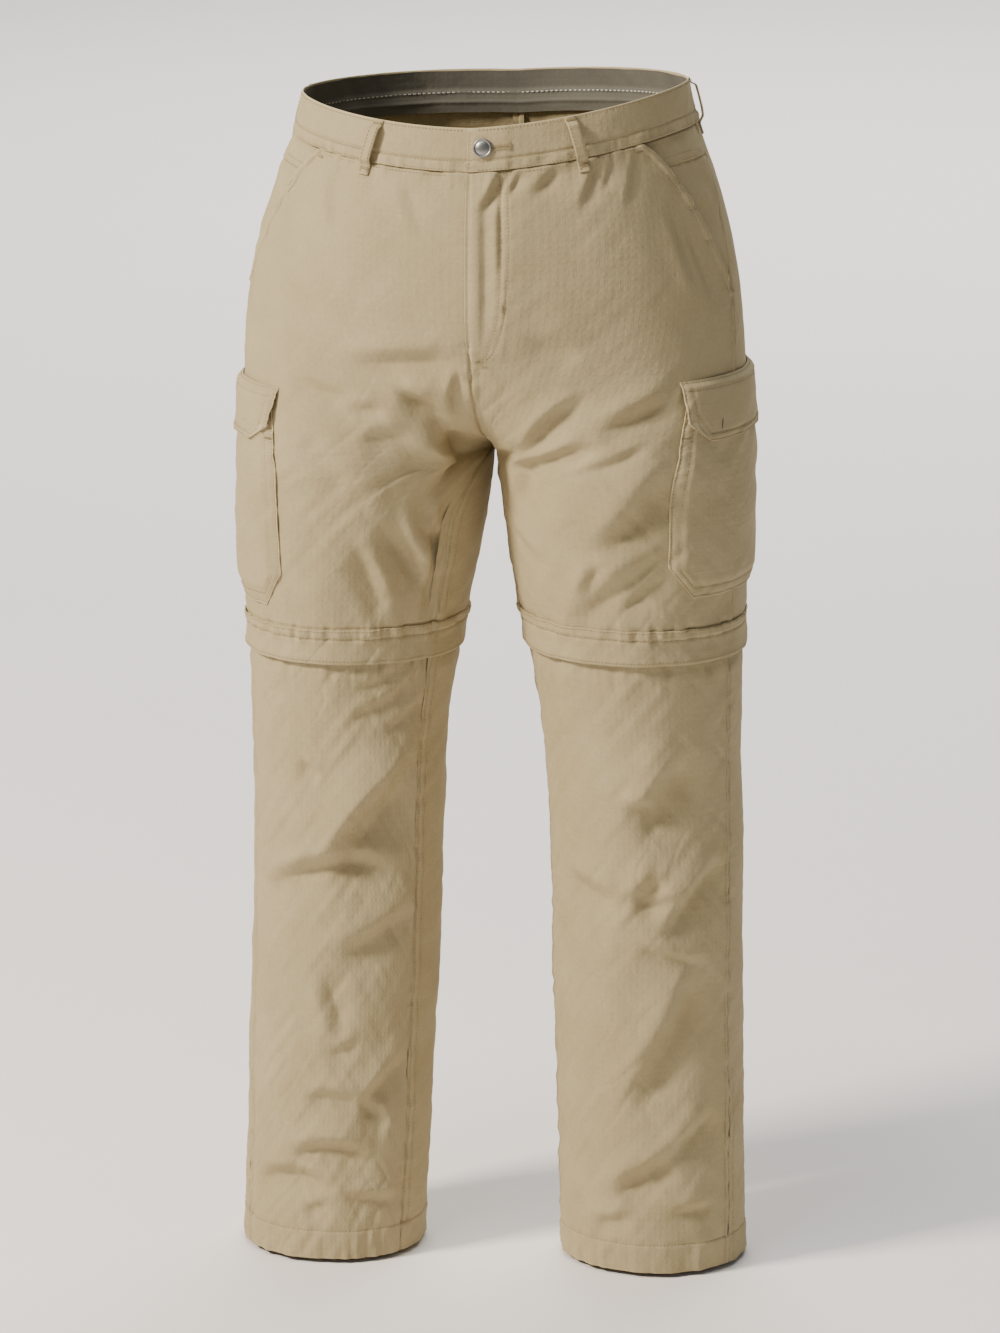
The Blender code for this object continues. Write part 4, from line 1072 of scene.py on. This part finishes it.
def bag_out(side, q, v):
    v = v - np.where(side > 0, POCKET_ROWS_DOWN[1], POCKET_ROWS_DOWN[-1])
    away = np.maximum(patch_away(q, v, BAG), 0)
    along = v * 0.07 + q * TURN
    puff = LAYER + 0.0001 + (POCKET_RISE - LAYER) * smooth(0.0, 0.014, away)
    edge = ripples(along, away - 0.004, 91, 0.0009, 0.0075, 0.007) + groove(away - EDGE_ROW, 0.0006, 0.0010)
    soft = 0.0010 * bumps(q * TURN / 0.03, v / 0.5, 92) * smooth(0.008, 0.02, away)
    return puff + edge + groove(away - BAG_ROW, 0.0012, 0.0014) + soft


def flap_out(side, q, v):
    v = v - np.where(side > 0, POCKET_ROWS_DOWN[1], POCKET_ROWS_DOWN[-1])
    away = np.maximum(patch_away(q, v, FLAP), 0)
    along = v * 0.06 + q * TURN
    over = np.minimum(smooth(POCKET_FRONT_Q - 0.018, POCKET_FRONT_Q + 0.002, q), smooth(0.648, 0.618, q))
    lift = LAYER + (POCKET_RISE + 2 * GAP) * smooth(4.10, 4.22, v) * (0.45 + 0.55 * over)
    edge = ripples(along, away - 0.003, 93, 0.0007, 0.0075, 0.006) + groove(away - EDGE_ROW, 0.0006, 0.0010)
    top = groove((v - 4.10) * 0.06 - FLAP_ROW, 0.0010, 0.0013)
    soft = 0.0008 * bumps(q * TURN / 0.03, v / 0.45, 94)
    return lift + edge + top + groove(away - FLAP_ROW, 0.0009, 0.0013) + soft


def patch(name, s, shape, out_at, node_name, step=0.0022):
    down = POCKET_ROWS_DOWN[s]
    width = (shape.back - shape.front(shape.top)) * TURN
    share, share_back = turned(stations(0.0, width, step, [0, width]), first=True, last=True)
    share = share[:, None] / width
    end_q = shape.front(shape.bottom) + (shape.back - shape.front(shape.bottom)) * share
    bottom = lower_edge(np.clip(end_q, shape.front(shape.bottom), shape.back), shape)
    height = (shape.bottom - shape.top) * 0.07
    fall, fall_back = turned(stations(0.0, height, step, [0, height]), first=True, last=True)
    v = shape.top + fall[None, :] / height * (bottom - shape.top)
    start = shape.front(v)
    q = start + (shape.back - start) * share
    out = out_at(np.full(q.shape, float(s)), q, v + down) + share_back[:, None] + fall_back[None, :]
    wear = 0.6 * np.exp(-(np.maximum(patch_away(q, v, shape), 0) / 0.0013)**2)
    piece = sheet(name, float(s), q, v + down, out, CANVAS, rubbed=wear)
    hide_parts(node_name)
    "front" + node_name[node_name.rindex("_"):]


def sew_patch(s, shape, out_at, inset, top_too=False):
    """A row of stitches that follows a patch's edge at one distance."""
    down, dq, dv = POCKET_ROWS_DOWN[s], inset / TURN, inset / 0.075
    q_low = np.linspace(shape.front(shape.bottom) + dq, shape.back - dq, 300)
    v_low = lower_edge(q_low, shape) - dv
    v_side = np.linspace(shape.top + 0.03, v_low[0], 150)
    front = np.stack([shape.front(v_side) + dq, v_side], -1)
    back = np.stack([np.full(150, shape.back - dq), v_side[::-1]], -1)
    start = front[-1, 0] - q_low[0]
    q_low = q_low + start * np.clip(1 - (q_low - q_low[0]) / 0.05, 0, 1)
    line = np.concatenate([front, np.stack([q_low, v_low], -1)[1:], back])
    sew(np.full(len(line), float(s)), line[:, 0], line[:, 1] + down, out_at)
    if top_too:
        sew_round(s, shape.front(shape.top) + dq, shape.back - dq, shape.top + inset / 0.06 + down, out_at)


for word, s in LEGS:
    patch(f"cargo_pocket_{word}_cloth", s, BAG, bag_out, f"cargo_pocket_{word}")
    patch(f"cargo_flap_{word}_cloth", s, FLAP, flap_out, f"cargo_flap_{word}")
    down = POCKET_ROWS_DOWN[s]
    for inset in (EDGE_ROW, BAG_ROW):
        sew_patch(s, BAG, bag_out, inset)
    for inset in (EDGE_ROW, FLAP_ROW):
        sew_patch(s, FLAP, flap_out, inset, top_too=True)
    for corner in (POCKET_FRONT_Q + 0.008, BAG.back - 0.008):
        bartack(s, corner, 4.95 + down, bag_out)
    # the buttonhole near the flap's lower edge: one dark bar in the teeth finish is the painted shade inside
    # its slit
    ends = row_at(drop_at(np.array([4.80 + down]))[0] + np.array([-0.006, 0.006]))
    sew([s] * 2, [0.452] * 2, ends, flap_out, pitch=0.02, length=0.0125, width=0.0011, height=0.0005,
        kind="teeth")
print("stitches so far:", len(GRAINS["thread"]))

# %% [markdown]
# ## Belt loops
# A belt loop is a strip folded in three, 12 mm wide, whose ends are turned under and
# locked with a bar of dense stitches. It stands off the band far enough for a belt, so
# it is a solid strip with its own thickness here.

# %% Belt loops
LOOP_WIDTH = 0.012
LOOP_TURN = 0.60          # metres for a whole step of q, at the centre back
LOOP_RISE = 0.0074
LOOP_ROWS = [0.02, 0.12, 0.22, 0.5, 0.8, 0.96, 1.06, 1.22]
LOOP_RISES = [LAYER, LAYER, LOOP_RISE - 0.0006, LOOP_RISE, LOOP_RISE, LOOP_RISE - 0.0006, LAYER, LAYER]


def loop_out(v):
    dense = np.linspace(0.0, 1.25, 400)
    plain = np.interp(dense, LOOP_ROWS, LOOP_RISES)
    soft = np.convolve(np.pad(plain, 9, mode="edge"), np.ones(19) / 19, "valid")
    return np.interp(v, dense, soft)


def belt_loop(name, node_name, s, q_mid, lean=0.0):
    half = LOOP_WIDTH / 2 / LOOP_TURN

    def middle(v):
        return q_mid + lean * v

    def out(side, q, v):
        return loop_out(v) + 0.0002

    def end_out(side, q, v):
        return LAYER + 0.0004

    across = np.array([-1, -0.96, -0.8, -0.3, 0.3, 0.8, 0.96, 1])
    crown = np.array([-0.0008, -0.0002, 0.0001, 0.0002, 0.0002, 0.0001, -0.0002, -0.0008])
    v = np.concatenate([[0.015], np.linspace(0.02, 1.22, 60), [1.226]])
    outer = lay(float(s), middle(v)[None, :] + half * across[:, None], v[None, :],
                loop_out(v)[None, :] + crown[:, None])
    inner = lay(float(s), middle(v)[None, :] + half * across[::-1, None] * 0.97, v[None, :],
                loop_out(v)[None, :] - 0.0016 + 0 * across[:, None])
    points = np.concatenate([outer, inner])
    columns, rows = points.shape[:2]
    index = np.arange(columns * rows).reshape(columns, rows)
    after = np.roll(index, -1, 0)
    quads = np.stack([index[:, :-1], after[:, :-1], after[:, 1:], index[:, 1:]], -1).reshape(-1, 4)
    quads = quads[:, ::-1] if s > 0 else quads
    caps = [index[:, 0].tolist(), index[::-1, -1].tolist()]
    mesh = bpy.data.meshes.new(name)
    mesh.from_pydata(points.reshape(-1, 3).tolist(), [], quads.tolist() + caps)
    uv = mesh.uv_layers.new(name="cut")
    flat = np.broadcast_arrays(np.arange(columns)[:, None] * 0.0014, v[None, :] * 0.04)
    flat = np.stack(flat, -1).reshape(-1, 2)
    loops = np.zeros(len(mesh.loops), dtype=np.int32)
    mesh.loops.foreach_get("vertex_index", loops)
    uv.data.foreach_set("uv", flat[loops].astype(np.float32).ravel())
    mesh.shade_smooth()
    obj = on_body(name, mesh, CANVAS)
    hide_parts(node_name)
    for edge in (-0.66, 0.66):
        rows = np.linspace(0.04, 1.2, 80)
        sew(np.full(80, float(s)), middle(rows) + half * edge, rows, out)
    for end in (0.09, 1.12):
        bartack(s, middle(end), end, end_out, wide=0.009)


for word, s in LEGS:
    belt_loop(f"belt_loop_front_{word}_cloth", f"belt_loop_front_{word}", s, 0.1645, 0.0155)
    belt_loop(f"belt_loop_side_{word}_cloth", f"belt_loop_side_{word}", s, 0.560)
belt_loop("belt_loop_back_cloth", "belt_loop_back", 1, 1.0)

# %% [markdown]
# ## The waist button
# A shank button of aged nickel: a rolled rim, a shallow ring and a low dome. A turned
# profile is the natural way to make it. It stays plain, and beside it is the stitched
# buttonhole that it goes through.

# %% Button and buttonhole
BUTTON_RADIUS = 0.0085
# shares of the radius and heights in metres: shank, back, rim, ring and dome
PROFILE = [(0.0, -0.0012), (0.30, -0.0012), (0.32, 0.0), (0.80, 0.0), (0.93, 0.0006), (0.99, 0.0012),
           (1.0, 0.0018), (0.97, 0.0024), (0.90, 0.0027), (0.83, 0.0026), (0.78, 0.0022), (0.70, 0.0023),
           (0.62, 0.0028), (0.50, 0.0032), (0.34, 0.0035), (0.17, 0.0037), (0.0, 0.0037)]
q_at, v_at = np.array(0.0196), np.array(0.48)
place = Vector(lay(1.0, q_at, v_at, LAYER + GAP + 0.0003))
facing = Vector(outward(np.array(1.0), q_at, v_at)).to_track_quat("Z", "Y").to_matrix()
STEPS_ROUND = 48
verts, faces = [], []
for share, height in PROFILE:
    for i in range(STEPS_ROUND):
        angle = 2 * math.pi * i / STEPS_ROUND
        radius = BUTTON_RADIUS * max(share, 0.001)
        verts.append(place + facing @ Vector((radius * math.cos(angle), radius * math.sin(angle), height)))
for ring in range(len(PROFILE) - 1):
    for i in range(STEPS_ROUND):
        j = (i + 1) % STEPS_ROUND
        a, b = ring * STEPS_ROUND, (ring + 1) * STEPS_ROUND
        faces.append((a + i, a + j, b + j, b + i))
mesh = bpy.data.meshes.new("waist_button_metal")
mesh.from_pydata(verts, [], faces)
mesh.shade_smooth()
button = on_body("waist_button_metal", mesh, NICKEL)
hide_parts("waist_button")
for q_hole in np.linspace(0.034, 0.062, 12):
    for shift in (-0.0014, 0.0014):
        v_hole = row_at(drop_at(np.array([0.50]))[0] + shift + np.array([-0.0009, 0.0009]))
        sew([1, 1], [q_hole] * 2, v_hole, lambda side, q, v: band_rise(side, q, v) + 0.0001,
            pitch=0.01, length=0.0022, width=0.0010, height=0.0006)
bartack(1, 0.0645, 0.50, band_rise, wide=0.006, down=True)
print("button at", [round(x, 4) for x in place])


# %% Stitches and teeth become meshes
def grains_mesh(name, kind, mat):
    grains = np.array([[list(p) for p in grain] for grain in GRAINS[kind]])
    count = len(grains)
    shape = [(0, 1, 2), (1, 4, 3, 2), (4, 5, 3)]
    faces = [tuple(6 * i + k for k in face) for i in range(count) for face in shape]
    mesh = bpy.data.meshes.new(name)
    mesh.from_pydata(grains.reshape(-1, 3).tolist(), [], faces)
    obj = on_body(name, mesh, mat)
    print(name, count, "grains")


grains_mesh("topstitching", "thread", THREAD)
grains_mesh("lining_stitches", "pale", PALE_THREAD)
# this mesh holds the zip teeth and also the dark bars of painted shade in the buttonhole slits
grains_mesh("zip_teeth_and_slit_shade", "teeth", TEETH_AND_SLIT_SHADE)

# %% [markdown]
# ## Floor, light and camera
# A plain pale floor runs on behind the trousers as their backdrop. One large soft lamp
# from the upper left in front models the folds, a weaker one above reaches inside the
# waist, a third lights the backdrop, and the pale surroundings fill the shadows. The
# camera stands a little to the wearer's left and above, with a long lens.

# %% Floor
floor_mat, floor_tree, floor_shader = new_material("pale_paper_floor")
place = node(floor_tree, "ShaderNodeTexCoord").outputs["Object"]
grain = node(floor_tree, "ShaderNodeTexNoise", Vector=place, Scale=3.0, Detail=2.0).outputs["Fac"]
paper = node(floor_tree, "ShaderNodeMapRange", Value=grain, To_Min=0.0, To_Max=1.0).outputs["Result"]
shades = mix_colours(floor_tree, paper, linear("#F5EFEA"), linear("#F8F2ED"))
floor_tree.links.new(shades, floor_shader.inputs["Base Color"])
floor_shader.inputs["Roughness"].default_value = 0.9
floor_z = CAD_BOX[0][2] - 0.0035
mesh = bpy.data.meshes.new("floor")
corners = [(-9, -9, floor_z), (9, -9, floor_z), (9, 25, floor_z), (-9, 25, floor_z)]
mesh.from_pydata(corners, [], [(0, 1, 2, 3)])
mesh.materials.append(floor_mat)
floor = bpy.data.objects.new("floor", mesh)
bpy.context.scene.collection.objects.link(floor)

# %% Light
world = bpy.data.worlds.new("studio")
bpy.context.scene.world = world
world.use_nodes = True
world.node_tree.nodes["Background"].inputs["Color"].default_value = linear("#E9EFF2")
world.node_tree.nodes["Background"].inputs["Strength"].default_value = 0.27


def lamp(name, place, aim, size, power, colour="#FFFFFF"):
    data = bpy.data.lights.new(name, "AREA")
    data.shape, data.size, data.energy = "SQUARE", size, power
    data.color = linear(colour)[:3]
    obj = bpy.data.objects.new(name, data)
    obj.location = place
    obj.rotation_euler = (Vector(aim) - Vector(place)).to_track_quat("-Z", "Y").to_euler()
    bpy.context.scene.collection.objects.link(obj)


lamp("key", (-3.1, -2.2, 2.3), (0, 0, -0.5), 0.9, 350, "#FFF4E6")
lamp("above", (-0.5, -1.1, 3.2), (0, 0, -0.3), 0.8, 42, "#FBFAF6")
lamp("backdrop", (0, 7.0, 4.5), (0, 6.5, -1.1), 7.0, 860)

# %% Camera
AZIMUTH, ELEVATION = math.radians(9.5), math.radians(13.9)
DISTANCE = 4.92
right = Vector((math.cos(AZIMUTH), math.sin(AZIMUTH), 0))
back = Vector((math.sin(AZIMUTH) * math.cos(ELEVATION), -math.cos(AZIMUTH) * math.cos(ELEVATION),
               math.sin(ELEVATION)))
aim = Vector((0, 0, -0.536)) + right * 0.0046
cam_data = bpy.data.cameras.new("camera")
cam_data.lens, cam_data.sensor_width, cam_data.sensor_fit = 143.1, 36, "AUTO"
cam = bpy.data.objects.new("camera", cam_data)
cam.location = aim + back * DISTANCE
cam.rotation_euler = (-back).to_track_quat("-Z", "Y").to_euler()
bpy.context.scene.collection.objects.link(cam)
bpy.context.scene.camera = cam
